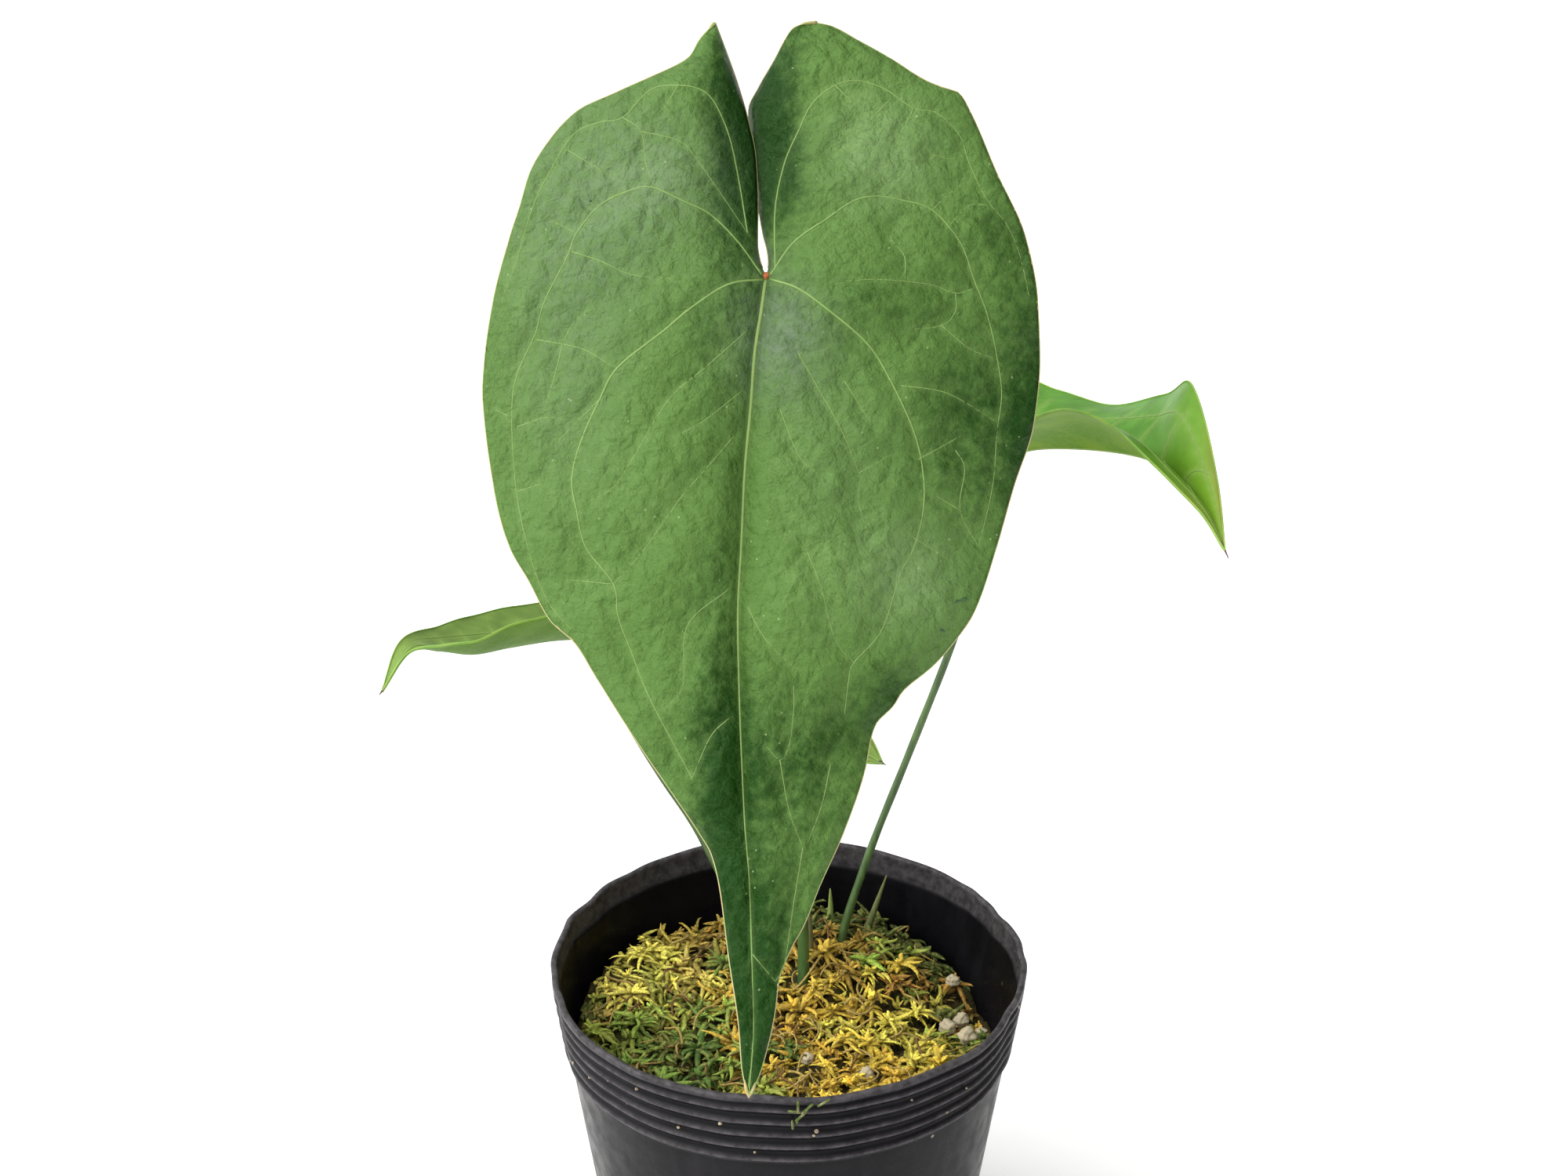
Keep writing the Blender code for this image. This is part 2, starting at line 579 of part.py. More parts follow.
def make_grain(number, x, y, radius):
    shape = bmesh.new()
    bmesh.ops.create_icosphere(shape, subdivisions=2, radius=1.0)
    ground = max(
        moss_height(x + radius * math.cos(turn), y + radius * math.sin(turn)) for turn in range(7)
    )
    centre = np.array((x, y, ground + radius * 1.15 + GAP))
    points = []
    for vertex in shape.verts:
        x0, y0, z0 = vertex.co
        lump = 1.0 + 0.13 * math.sin(5.0 * x0 + number) * math.cos(4.0 * y0 - number) + 0.06 * math.sin(7.0 * z0)
        points.append(centre + radius * lump * np.array((x0, y0, z0 * 0.9)))
    faces = [tuple(vertex.index for vertex in face.verts) for face in shape.faces]
    shape.free()
    add_solid(f"perlite_grain_{number}", points, faces, (0.42, 0.36, 0.24), 0.85)


def main():
    for leftover in list(bpy.data.objects):
        bpy.data.objects.remove(leftover, do_unlink=True)

    make_pot()
    make_crown("crown", 0.0)
    crown_cutter = make_crown("crown_room", GAP + 0.1)

    ends = {
        "front_leaf_petiole": (FRONT_JUNCTION, FRONT_OUT * 0.97 + FRONT_UP * 0.243),
        "right_leaf_petiole": (RIGHT_KEEL[0], (0.0, 0.0, 1.0)),
        "left_leaf_petiole": (LEFT_KEEL[0], (0.0, 0.0, 1.0)),
        "back_leaf_petiole": (BACK_KEEL[0], (0.0, 0.0, 1.0)),
    }
    rooms = [crown_cutter]
    for name, radius, line in STEMS:
        end = petiole_end(*ends[name], radius)
        rooms.append(make_stem(name, radius, (*line, tuple(end)), (0.045, 0.085, 0.018)))
    for name, radius, line in SHEATHS:
        rooms.append(make_sheath(name, radius, line, (0.14, 0.17, 0.045)))

    make_mix(crown_cutter)
    make_moss(rooms)
    make_front_blade()
    make_small_blade("right_leaf_blade", RIGHT_KEEL, RIGHT_NEAR, RIGHT_FAR, 3, 6, (0.20, 0.36, 0.08))
    make_small_blade("left_leaf_blade", LEFT_KEEL, LEFT_NEAR, LEFT_FAR, 3, 5, (0.24, 0.34, 0.18))
    make_small_blade("back_leaf_blade", BACK_KEEL, BACK_NEAR, BACK_FAR, 3, 4, (0.16, 0.28, 0.08))
    for number, (x, y, radius) in enumerate(GRAINS, start=1):
        make_grain(number, x, y, radius)


main()
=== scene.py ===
import math

import bmesh
import bpy
import numpy as np
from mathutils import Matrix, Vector, kdtree


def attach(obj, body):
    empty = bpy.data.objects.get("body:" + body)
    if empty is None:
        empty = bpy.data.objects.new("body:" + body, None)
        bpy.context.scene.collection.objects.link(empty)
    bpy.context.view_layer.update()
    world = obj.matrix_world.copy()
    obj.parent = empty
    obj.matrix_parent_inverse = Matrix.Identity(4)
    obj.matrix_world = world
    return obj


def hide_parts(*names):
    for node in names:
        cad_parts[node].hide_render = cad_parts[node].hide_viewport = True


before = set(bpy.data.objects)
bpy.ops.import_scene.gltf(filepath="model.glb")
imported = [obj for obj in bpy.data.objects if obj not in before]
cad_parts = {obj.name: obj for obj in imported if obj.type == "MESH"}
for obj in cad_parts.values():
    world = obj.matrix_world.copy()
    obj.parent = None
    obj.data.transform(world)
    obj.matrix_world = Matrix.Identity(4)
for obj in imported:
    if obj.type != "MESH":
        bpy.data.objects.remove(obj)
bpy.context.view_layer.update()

# The detailed look of the potted anthurium. Lengths are millimetres until a mesh is made, +Z is up,
# the pot stands on z = 0 and the large leaf faces -Y.

MM = 0.001
# Material slots of a leaf. The large leaf adds a knot and scars to them, and the smaller leaves a needle
TOP, UNDER, EDGE, VEIN = range(4)
KNOT, SCAR = 4, 5
NEEDLE = 4
# Rows in a lobe, rows below the junction and columns of each half of the large leaf
LEAF_GRID = (70, 190, 62)
# Rows for each station of its outline and columns of each half of a smaller leaf
SMALL_GRID = (14, 34)
RANDOM = np.random.default_rng(41)

# Nursery pot
POT_HEIGHT = 105.0
RIM_RADIUS = 60.0
WALL_TAPER = 0.149
WALL = 0.8
LIP_SWELL = 0.8
LIP_FOOT = 103.0
RIDGE_FOOT = 83.5
RIDGE_COUNT = 5
RIDGE_PITCH = 3.9
RIDGE_DEPTH = 1.1
FLOOR = 1.0
DRAIN_COUNT = 8
DRAIN_RING = 28.0
DRAIN_RADIUS = 3.5
DRAIN_SIDES = 24
POT_SIDES = 288

# Dents and bulges of the rim: direction and half-width in degrees, and how far it moves outwards
DENTS = (
    (152, 4, -0.9), (161, 3, 0.5), (178, 5, 0.5), (22, 4, -0.8), (36, 3, 0.5), (4, 4, -0.6),
    (196, 4, -0.6), (338, 4, -0.5), (255, 5, 0.3), (290, 6, -0.4),
)

# Crumbs on the wall and the lip (direction in degrees, height, size) and shreds of moss on the wall
CRUMBS = (
    (276.6, 95.0, 0.9), (276.0, 93.6, 0.6), (254.0, 96.0, 0.8), (243.0, 91.5, 0.7), (232.0, 99.0, 0.7),
    (222.0, 96.5, 0.6), (213.0, 92.0, 0.7), (205.0, 97.0, 0.5), (199.0, 88.0, 0.6), (300.0, 99.0, 0.5),
    (318.0, 94.0, 0.5), (262.0, 88.0, 0.5), (134.0, 104.9, 1.1), (131.5, 104.6, 0.8), (60.0, 104.9, 0.6),
    (228.0, 92.5, 0.5),
)
SHREDS = (
    (272.2, 103.2), (271.4, 101.6), (273.0, 100.2), (272.0, 98.6), (274.3, 102.4), (278.0, 104.0),
    (271.0, 97.4),
)

# Moss
MOSS_LEVEL = 85.0
MOSS_EDGE_LEVEL = 84.0
BED_DEPTH = 2.2
BED_FOOT = 72.4
BED_RINGS = 70
BED_SIDES = 160
MOSS_LUMPS = ((10, 28, 24, 9.0), (-41, 22, 19, 6.0), (48, 11, 18, -8.0), (8, -30, 22, 1.5))
GRAINS = (
    (43.3, 22.8, 1.8), (45.2, 11.2, 2.1), (41.2, 5.2, 2.1), (46.0, -1.4, 2.4), (50.2, 6.6, 1.5),
    (19.5, -23.0, 2.0), (4.9, -14.4, 1.6),
)

# Tufts of moss and loose strands
TUFT_TRIES = 9000
TUFT_SPACING = 4.0
STRAND_COUNT = 110

# Where the petioles leave the moss
STEM_SPOTS = ((4.1, 15.5), (14, 30), (-5, 25), (5.9, 21))

# Large leaf: plane of the blade and the distance of the viewer it faces. BLADE and SMALL_BLADE are
# the thicknesses of the large and the smaller leaves
FRONT_JUNCTION = np.array((-4.9, -31.1, 300.1))
FRONT_RIGHT = np.array((1.0, 0.0, 0.0))
FRONT_UP = np.array((0.0, 0.4305, 0.9026))
FRONT_OUT = np.array((0.0, -0.9026, 0.4305))
VIEW_DISTANCE = 660.0
VIEW_FOOT = (3.9, -67.9)
BLADE = 0.5
SMALL_BLADE = 0.45

# Outlines of the large leaf, (across, up) from the junction
MIDRIB = (
    (0.0, 0.0), (-1.2, -8.5), (-2.5, -17), (-3.4, -29), (-4.6, -42), (-5.4, -59), (-6.1, -73), (-5.9, -87),
    (-5.4, -102), (-4.6, -119), (-3.6, -132), (-2.9, -153), (-2.7, -164), (-3.7, -178),
)
LEFT_SINUS = (
    (-11.0, 54.5), (-8.7, 48.4), (-6.4, 42), (-3.9, 33.4), (-2.2, 25), (-1.8, 15.3), (-1.9, 7.0),
    (-1.2, 2.5), (0.0, 0.0),
)
LEFT_MARGIN = (
    (-11.0, 54.5), (-14.3, 50.9), (-16.5, 47.2), (-18.5, 45.8), (-25.8, 42.4), (-33.4, 39), (-40.6, 35.6),
    (-47, 28.9), (-51.1, 22), (-53.1, 15.3), (-55.3, 8.5), (-58.9, -5.1), (-60.9, -18.7), (-61.3, -25.5),
    (-60.8, -32.2), (-58.9, -45.8), (-57.5, -52.6), (-55.2, -59.4), (-51.3, -66.2), (-46.7, -74.7),
    (-41.2, -79.8), (-37, -86.6), (-28.5, -100.1), (-19.2, -113.7), (-14.6, -120.5), (-11.7, -125.6),
    (-10, -132.4), (-8, -147.7), (-5.8, -162.9), (-5.1, -172), (-3.7, -178),
)
RIGHT_SINUS = (
    (10.7, 54.5), (8.1, 54.2), (5.9, 53.3), (4.2, 50.9), (2, 46.7), (-1.5, 40.6), (-3.7, 35.6), (-3.2, 28),
    (-1.9, 17), (-0.6, 8.8), (0.4, 4.6), (0.6, 2.0), (0.0, 0.0),
)
RIGHT_MARGIN = (
    (10.7, 54.5), (14, 53.8), (19.5, 50.9), (27, 46.7), (33.8, 42.4), (37, 40.9), (41.6, 39.4), (44, 35.6),
    (49.9, 22), (56, 8.5), (58.7, -5.1), (59.2, -18.7), (57.9, -32.2), (53.6, -45.8), (49.7, -59.4),
    (45, -73), (40.4, -79.8), (36.2, -84.5), (29.4, -90.3), (27.5, -93.3), (23.8, -97.1), (22.7, -100.1),
    (21.4, -106.9), (16.8, -120.5), (11.5, -132.4), (8.1, -140.9), (5.3, -146), (2.7, -152.8),
    (1.9, -159.5), (-1.2, -172.3), (-3.7, -178),
)

LOBE_TOP = LEFT_MARGIN[0][1]
LEAF_TIP = MIDRIB[-1][1]

# Relief of the large leaf towards the viewer, (up, height)
MIDRIB_RELIEF = ((0, 0), (-40, -1), (-90, -2.5), (-140, -2), (-178, 0))
LEFT_SINUS_RELIEF = ((54.5, -6), (45, -7), (30, -7.5), (15, -5), (5, -2), (0, 0))
RIGHT_SINUS_RELIEF = ((54.5, -8), (45, -10), (30, -10.5), (15, -7), (5, -3), (0, 0))
LEFT_MARGIN_RELIEF = (
    (54.5, -6), (45, -5), (20, -4), (0, -5), (-40, -7), (-75, -6), (-100, -4.5), (-140, -2.5), (-178, 0),
)
RIGHT_MARGIN_RELIEF = (
    (54.5, -8), (45, -7), (20, -6), (0, -7), (-40, -10), (-75, -8.5), (-95, -9), (-110, -5), (-140, -3),
    (-178, 0),
)
LEFT_SWELL = ((54.5, 0), (45, 5), (30, 8), (0, 7.5), (-40, 7), (-75, 5), (-100, 2.5), (-130, 1), (-178, 0))
RIGHT_SWELL = (
    (54.5, 0), (45, 5), (30, 8), (0, 7), (-40, 6.5), (-75, 5.5), (-100, 4), (-130, 1.5), (-178, 0),
)
SWELL_LEAN = 0.65

# Veins of the large leaf: (radius, paleness, route)
MAIN_VEINS = (
    (0.34, 0.62, ((0, -1), (-8, -2), (-16, -7), (-22, -12), (-32, -20), (-36, -27), (-40, -36), (-42, -44),
                  (-41, -51), (-39, -59), (-33, -67), (-32, -74), (-29, -82), (-25, -92), (-16, -109))),
    (0.34, 0.62, ((1, -1), (7, -3), (14, -8), (22, -15), (27, -23), (32, -34), (34, -43), (34, -51),
                  (32, -59), (29, -65), (25, -77), (19, -84), (18, -87), (17, -95))),
    (0.30, 0.5, ((-1, 0), (-6, 7), (-12, 13), (-18, 16), (-25, 19), (-30, 18), (-36, 15), (-41, 9),
                 (-43, 4), (-48, -6), (-50, -13), (-54, -22), (-55, -31), (-54, -47), (-51, -61),
                 (-47, -71), (-42, -77))),
    (0.30, 0.5, ((1, 0), (6, 7), (13, 12), (19, 16), (24, 17), (30, 16), (36, 14), (42, 7), (45, -1),
                 (48, -9), (50, -18), (51, -26), (50, -34), (49, -46), (46, -59))),
    (0.27, 0.45, ((-4, 9), (-6, 21), (-8, 30), (-11, 37), (-14, 40), (-19, 41), (-25, 40), (-31, 34),
                  (-36, 33), (-42, 30), (-48, 20), (-51, 13), (-54, 3), (-57, -5))),
    (0.27, 0.45, ((2, 1), (2, 14), (4, 24), (7, 31), (10, 37), (15, 41), (20, 42), (26, 40), (32, 36),
                  (37, 35), (42, 30), (44, 24), (48, 16), (52, 11), (55, 4), (57, -5))),
)
SIDE_VEINS = (
    ((-31, 34), (-27, 31), (-26, 24), (-24, 19)), ((-27, 31), (-19, 29), (-15, 25), (-4, 9)),
    ((-43, 27), (-38, 24), (-33, 21)), ((-42, 5), (-36, 3), (-29, 0), (-20, -1)),
    ((-50, -14), (-40, -16), (-33, -20)), ((-44, -15), (-42, -11), (-38, -7)),
    ((-44, -15), (-46, -23), (-48, -29)), ((-54, -33), (-48, -31), (-44, -31)), ((-54, -47), (-48, -45)),
    ((-4, -12), (-13, -20), (-21, -27), (-29, -40), (-33, -46), (-38, -49)),
    ((-5, -25), (-14, -32), (-20, -35)), ((-7, -35), (-13, -42), (-19, -49), (-26, -59), (-33, -67)),
    ((-8, -68), (-17, -76), (-18, -89), (-22, -94)),
    ((-8, -96), (-12, -100), (-16, -109)), ((27, 38), (22, 33), (15, 26)), ((32, 36), (28, 28), (24, 17)),
    ((43, 26), (40, 25), (36, 26)), ((48, 15), (44, 15), (40, 11)), ((36, 14), (39, 17), (43, 20)),
    ((45, -3), (41, -4), (35, -2), (23, -1), (15, -2)), ((30, -1), (30, 4), (27, 8), (29, 11)),
    ((41, -4), (41, -8), (38, -11), (30, -12)), ((38, -11), (44, -16), (49, -18)),
    ((29, -24), (37, -25), (42, -27), (50, -32)), ((41, -38), (43, -42), (42, -51), (46, -59)),
    ((42, -51), (37, -48)), ((7, -17), (11, -24), (16, -33), (20, -43), (20, -49), (22, -56)),
    ((20, -43), (27, -39)), ((17, -23), (22, -31)), ((3, -29), (7, -39), (11, -43)),
    ((9, -60), (12, -68), (15, -79), (19, -84)), ((-4, -72), (0, -79), (7, -86)),
    ((6, -89), (6, -94), (5, -102), (3, -105), (0, -102)), ((3, -105), (5, -116), (8, -124)),
    ((14, -106), (12, -115), (9, -123)), ((8, -124), (6, -136), (4, -149), (2, -153)),
    ((-3, -147), (2, -153)),
    ((-55, -31), (-59, -29)), ((-36, -27), (-45, -36)), ((33, -40), (42, -35)), ((-33, -67), (-43, -66)),
    ((32, -57), (40, -62)), ((-41, 9), (-47, 12)), ((-19, 41), (-22, 36)), ((15, 41), (20, 36)),
)

# Small healed scars on the right of the large leaf, and a speck on the left
SCARS = (
    ((36.5, -73.6), (37.4, -74.8), (37.2, -76.4), (38.6, -77.2)),
    ((39.0, -72.0), (41.0, -70.8), (43.2, -70.2)),
)
SPECK = (-38.0, 16.0)

# Lighter and darker patches of the large leaf, partly its own tone and partly painted light and shade:
# painted shade where the folded blade turns from the soft light, by the sinus and along the turned-back
# right margin, and painted light where it faces the light. Columns: across, up, half-width, half-height,
# amount
TONE_AND_SHADING = (
    (-9, -114, 6, 34, -0.34), (-4, -172, 14, 42, -0.72), (60, -32, 9, 44, -0.38), (48, -30, 18, 46, -0.13),
    (28, -92, 9, 14, -0.36), (5, -58, 9, 30, 0.14), (-7, 30, 7, 28, -0.46), (2, 30, 8, 26, -0.48),
    (-30, 22, 18, 14, 0.10), (28, 24, 16, 14, 0.28), (-52, -20, 8, 45, 0.10), (-9, -52, 8, 34, -0.10),
    (6, -106, 15, 18, -0.30), (30, -66, 12, 14, 0.42), (20, 34, 10, 10, 0.10), (-36, -40, 20, 45, 0.09),
    (3, -14, 10, 13, -0.10), (-22, -98, 12, 20, -0.12), (40, -30, 9, 20, -0.18), (18, -8, 8, 9, -0.16),
    (30, -8, 7, 6, -0.14), (50, 18, 8, 14, -0.12), (-14, -20, 9, 12, -0.12), (-34, 2, 7, 9, -0.10),
    (-46, -16, 5, 12, -0.08), (14, 42, 9, 7, 0.10),
)

# Painted sheen on the large leaf: greyer patches that stand in for the broad reflection of the soft light:
# across, up, half-width, half-height, amount
PAINTED_SHEEN_PATCHES = (
    (3, -14, 10, 13, 0.72), (-40, 14, 18, 26, 0.42), (-22, 22, 14, 12, 0.35), (24, 26, 14, 12, 0.25),
    (-44, -24, 12, 26, 0.22), (32, -66, 12, 12, 0.25), (16, -40, 12, 20, 0.12),
)

# Smaller leaves, as in the CAD but for one corner of the right one: midrib from the junction to the
# tip, then the inner edge of each lobe and the outer edge of each half
RIGHT_KEEL = (
    (56.8, 58.3, 220.3), (64.5, 50.0, 225.3), (76.1, 35.6, 230.9), (85.7, 19.1, 235.7), (91.8, 7.2, 236.3),
    (97.6, -7.5, 233.5), (100.3, -20.5, 229.3),
)
RIGHT_NEAR_SINUS = ((45.0, 75.0, 218.0), (50.0, 69.0, 218.8))
RIGHT_NEAR = (
    (45.0, 75.0, 218.0), (40.5, 64.0, 220.0), (43.0, 42.0, 229.0), (51.5, 22.5, 241.0), (65.0, 9.5, 252.3),
    (76.7, 1.6, 250.2), (85.5, -5.0, 243.5), (95.0, -13.0, 236.0), (100.3, -20.5, 229.3),
)
RIGHT_FAR_SINUS = ((54.0, 88.0, 214.5), (54.0, 72.0, 217.8))
RIGHT_FAR = (
    (54.0, 88.0, 214.5), (57.0, 97.0, 216.5), (63.5, 95.0, 225.0), (70.5, 84.0, 227.3), (82.0, 64.5, 231.0),
    (92.3, 39.0, 244.0), (96.4, 20.5, 253.8), (100.0, -3.0, 240.0), (100.3, -20.5, 229.3),
)
LEFT_KEEL = (
    (-54.1, 60.6, 167.1), (-62.2, 54.0, 169.5), (-71.6, 46.1, 171.6), (-80.2, 39.2, 173.4),
    (-88.2, 33.3, 177.3), (-95.0, 29.2, 179.5), (-101.3, 18.9, 172.5),
)
LEFT_NEAR_SINUS = ((-45.0, 66.0, 164.5), (-49.5, 63.5, 165.8))
LEFT_NEAR = (
    (-45.0, 66.0, 164.5), (-42.5, 57.0, 169.0), (-46.0, 48.0, 176.5), (-56.0, 37.8, 184.8),
    (-67.9, 30.7, 185.7), (-78.0, 25.2, 183.5), (-86.0, 24.5, 182.8), (-95.0, 24.7, 180.3),
    (-101.3, 18.9, 172.5),
)
LEFT_FAR_SINUS = ((-47.0, 82.0, 161.0), (-50.0, 70.0, 164.0))
LEFT_FAR = (
    (-47.0, 82.0, 161.0), (-49.5, 90.0, 159.5), (-56.0, 91.5, 162.0), (-64.3, 82.5, 166.6),
    (-74.0, 72.5, 169.8), (-83.0, 61.5, 172.6), (-90.0, 50.5, 175.2), (-98.0, 34.0, 179.0),
    (-101.3, 18.9, 172.5),
)
BACK_KEEL = (
    (-4.0, 77.0, 134.5), (3.0, 70.0, 136.0), (12.0, 60.5, 137.0), (19.5, 52.5, 137.3), (25.0, 46.0, 137.2),
)
BACK_NEAR_SINUS = ((-13.0, 82.0, 133.0), (-8.5, 79.5, 134.0))
BACK_NEAR = (
    (-13.0, 82.0, 133.0), (-14.5, 75.0, 134.5), (-9.4, 67.8, 136.2), (-1.0, 58.9, 137.0), (8.0, 51.6, 137.3),
    (17.0, 47.6, 137.0), (25.0, 46.0, 137.2),
)
BACK_FAR_SINUS = ((-10.5, 93.0, 132.5), (-7.5, 85.0, 133.5))
BACK_FAR = (
    (-10.5, 93.0, 132.5), (-5.5, 100.0, 132.5), (2.0, 97.0, 134.5), (9.5, 86.0, 137.0), (16.5, 73.0, 138.3),
    (22.0, 58.5, 138.3), (25.0, 46.0, 137.2),
)

# Smaller leaves: name, colours of the top (green, ripe and edge) and of the underside, slot, outline,
# length of the needle, size of the veins, and whether the midrib runs to the left
SMALL_LEAVES = (
    (
        "right", ((0.062, 0.182, 0.015), (0.18, 0.31, 0.020), (0.24, 0.055, 0.022)),
        ((0.078, 0.190, 0.005), (0.135, 0.245, 0.009)), "leaf_young",
        (RIGHT_KEEL, RIGHT_NEAR_SINUS, RIGHT_NEAR, RIGHT_FAR_SINUS, RIGHT_FAR), 5.0, 1.0, False,
    ),
    (
        "left", ((0.120, 0.200, 0.040), (0.120, 0.205, 0.034), (0.10, 0.13, 0.03)),
        ((0.075, 0.165, 0.018), (0.110, 0.215, 0.030)), "leaf_grey",
        (LEFT_KEEL, LEFT_NEAR_SINUS, LEFT_NEAR, LEFT_FAR_SINUS, LEFT_FAR), 2.0, 0.85, True,
    ),
    (
        "back", ((0.060, 0.140, 0.020), (0.12, 0.20, 0.03), (0.12, 0.06, 0.02)),
        ((0.060, 0.120, 0.018), (0.095, 0.160, 0.028)), "leaf_young",
        (BACK_KEEL, BACK_NEAR_SINUS, BACK_NEAR, BACK_FAR_SINUS, BACK_FAR), 2.0, 0.7, False,
    ),
)

# Petioles and sheaths: node, radius, look, centre line from its foot upwards
PETIOLES = (
    ("front_leaf_petiole", 1.3, "petiole_dark", (
        (4.0, 13.8, 78.8), (4.1, 15.8, 86), (3.8, 16.0, 112), (2.6, 9.0, 155), (-0.8, -3.5, 205),
        (-3.6, -14.5, 252), (-4.8, -23.0, 284), (-4.9, -30.0, 298.6),
    )),
    ("right_leaf_petiole", 1.0, "petiole_olive", (
        (13.5, 26.0, 78.8), (14.0, 31.0, 92), (21.6, 36.4, 116.4), (31.6, 41.3, 143),
        (42.4, 46.5, 172.3), (52.0, 52.5, 202), (56.8, 58.3, 219.8),
    )),
    ("left_leaf_petiole", 1.0, "petiole_olive", (
        (-1.5, 21.5, 78.8), (-6.5, 26.5, 88), (-23.0, 44.9, 115.7), (-33.8, 49.5, 132.2),
        (-46.2, 56.0, 152), (-54.1, 60.6, 166.6),
    )),
    ("back_leaf_petiole", 0.95, "petiole_brown", (
        (6.0, 20.4, 78.8), (5.9, 21.4, 87), (4.8, 30.0, 104), (0.0, 54.0, 120), (-3.0, 70.0, 128.5),
        (-4.0, 77.0, 134.0),
    )),
)
SHEATHS = (
    ("cataphyll_green", 1.5, "sheath_green", (
        (9.3, 33.6, 78.8), (10.8, 38.5, 88), (11.4, 41.5, 95), (11.3, 42.4, 101),
    )),
    ("cataphyll_olive", 1.3, "sheath_olive", (
        (17.0, 31.5, 78.8), (20.0, 37.6, 88), (23.0, 41.5, 95), (26.4, 46.1, 103),
    )),
)

# Looks of the petioles and sheaths: two colours and the roughness
STEM_LOOKS = {
    "petiole_dark": ((0.045, 0.11, 0.03), (0.085, 0.17, 0.05), 0.38),
    "petiole_olive": ((0.035, 0.080, 0.018), (0.070, 0.135, 0.030), 0.42),
    "petiole_brown": ((0.085, 0.075, 0.022), (0.12, 0.12, 0.035), 0.5),
    "sheath_green": ((0.17, 0.25, 0.05), (0.28, 0.36, 0.09), 0.6),
    "sheath_olive": ((0.07, 0.09, 0.02), (0.13, 0.14, 0.035), 0.7),
}

# Moss colours: x, y, reach, and the two colours that its sprigs run between
MOSS_ZONES = (
    (-36, 18, 10, (0.80, 0.68, 0.12), (0.62, 0.58, 0.09)),
    (-27, 25, 8, (0.60, 0.45, 0.10), (0.42, 0.40, 0.06)),
    (-42, -4, 8, (0.16, 0.28, 0.04), (0.34, 0.38, 0.05)),
    (-25, 3, 9, (0.26, 0.38, 0.06), (0.52, 0.52, 0.09)),
    (-52, 0, 5, (0.55, 0.38, 0.09), (0.40, 0.34, 0.05)),
    (-24, -21, 13, (0.05, 0.12, 0.02), (0.14, 0.24, 0.035)),
    (-38, -14, 8, (0.09, 0.11, 0.02), (0.20, 0.20, 0.03)),
    (10, -20, 21, (0.80, 0.60, 0.07), (0.64, 0.37, 0.04)),
    (29, 0, 12, (0.76, 0.62, 0.08), (0.58, 0.52, 0.07)),
    (26, 20, 8, (0.30, 0.46, 0.06), (0.46, 0.52, 0.08)),
    (37, 20, 6, (0.36, 0.17, 0.03), (0.24, 0.16, 0.03)),
    (12, 20, 8, (0.52, 0.33, 0.045), (0.38, 0.22, 0.03)),
    (30, 42, 13, (0.06, 0.09, 0.016), (0.10, 0.13, 0.022)),
    (-19, 40, 9, (0.48, 0.36, 0.06), (0.44, 0.24, 0.04)),
    (47, -5, 8, (0.07, 0.13, 0.02), (0.16, 0.22, 0.03)),
    # Painted shade: this dark brown zone paints the dark of a gap in the moss
    (-21, 21, 5, (0.12, 0.07, 0.02), (0.20, 0.13, 0.03)),
    (-9, -31, 8, (0.16, 0.28, 0.04), (0.38, 0.40, 0.06)),
    (0, 2, 10, (0.60, 0.42, 0.05), (0.42, 0.26, 0.03)),
)

# Direction of the big soft light, and how bright the studio is away from it and towards it
SOFTBOX = (-0.66, -0.30, 0.69)
SKY_DARK = 0.42
SKY_BRIGHT = 2.6


# Curves and surfaces

def smooth_curve(points, places):
    """Catmull-Rom curve through the points, read at places measured in points from the first."""
    points = np.asarray(points, float)
    places = np.asarray(places, float)
    padded = np.vstack((2 * points[0] - points[1], points, 2 * points[-1] - points[-2]))
    first = np.minimum(places.astype(int), len(points) - 2)
    t = (places - first)[:, None]
    a, b, c, d = (padded[first + step] for step in range(4))
    return b + 0.5 * t * (c - a + t * (2 * a - 5 * b + 4 * c - d + t * (3 * (b - c) + d - a)))


def even_curve(points, spacing):
    """The same curve as points about one spacing apart."""
    dense = smooth_curve(points, np.linspace(0, len(points) - 1, 24 * len(points)))
    run = np.concatenate(([0.0], np.cumsum(np.linalg.norm(np.diff(dense, axis=0), axis=1))))
    count = max(3, int(round(run[-1] / spacing)) + 1)
    stops = np.linspace(0.0, run[-1], count)
    return np.column_stack([np.interp(stops, run, dense[:, axis]) for axis in range(dense.shape[1])])


def read_smooth(pairs, places):
    """Values at places on (place, value) pairs with falling places, joined without overshoot."""
    xs = np.array([pair[0] for pair in reversed(pairs)], float)
    ys = np.array([pair[1] for pair in reversed(pairs)], float)
    widths = np.diff(xs)
    slopes = np.diff(ys) / widths
    bends = np.zeros(len(xs))
    bends[0], bends[-1] = slopes[0], slopes[-1]
    same = slopes[:-1] * slopes[1:] > 0
    bends[1:-1][same] = 2 * slopes[:-1][same] * slopes[1:][same] / (slopes[:-1] + slopes[1:])[same]
    places = np.clip(np.asarray(places, float), xs[0], xs[-1])
    piece = np.clip(np.searchsorted(xs, places) - 1, 0, len(widths) - 1)
    width = widths[piece]
    t = (places - xs[piece]) / width
    low, high = ys[piece], ys[piece + 1]
    return (
        (2 * t ** 3 - 3 * t ** 2 + 1) * low + (t ** 3 - 2 * t ** 2 + t) * width * bends[piece]
        + (3 * t ** 2 - 2 * t ** 3) * high + (t ** 3 - t ** 2) * width * bends[piece + 1]
    )


def across_up(line):
    return [(up, across) for across, up in line]


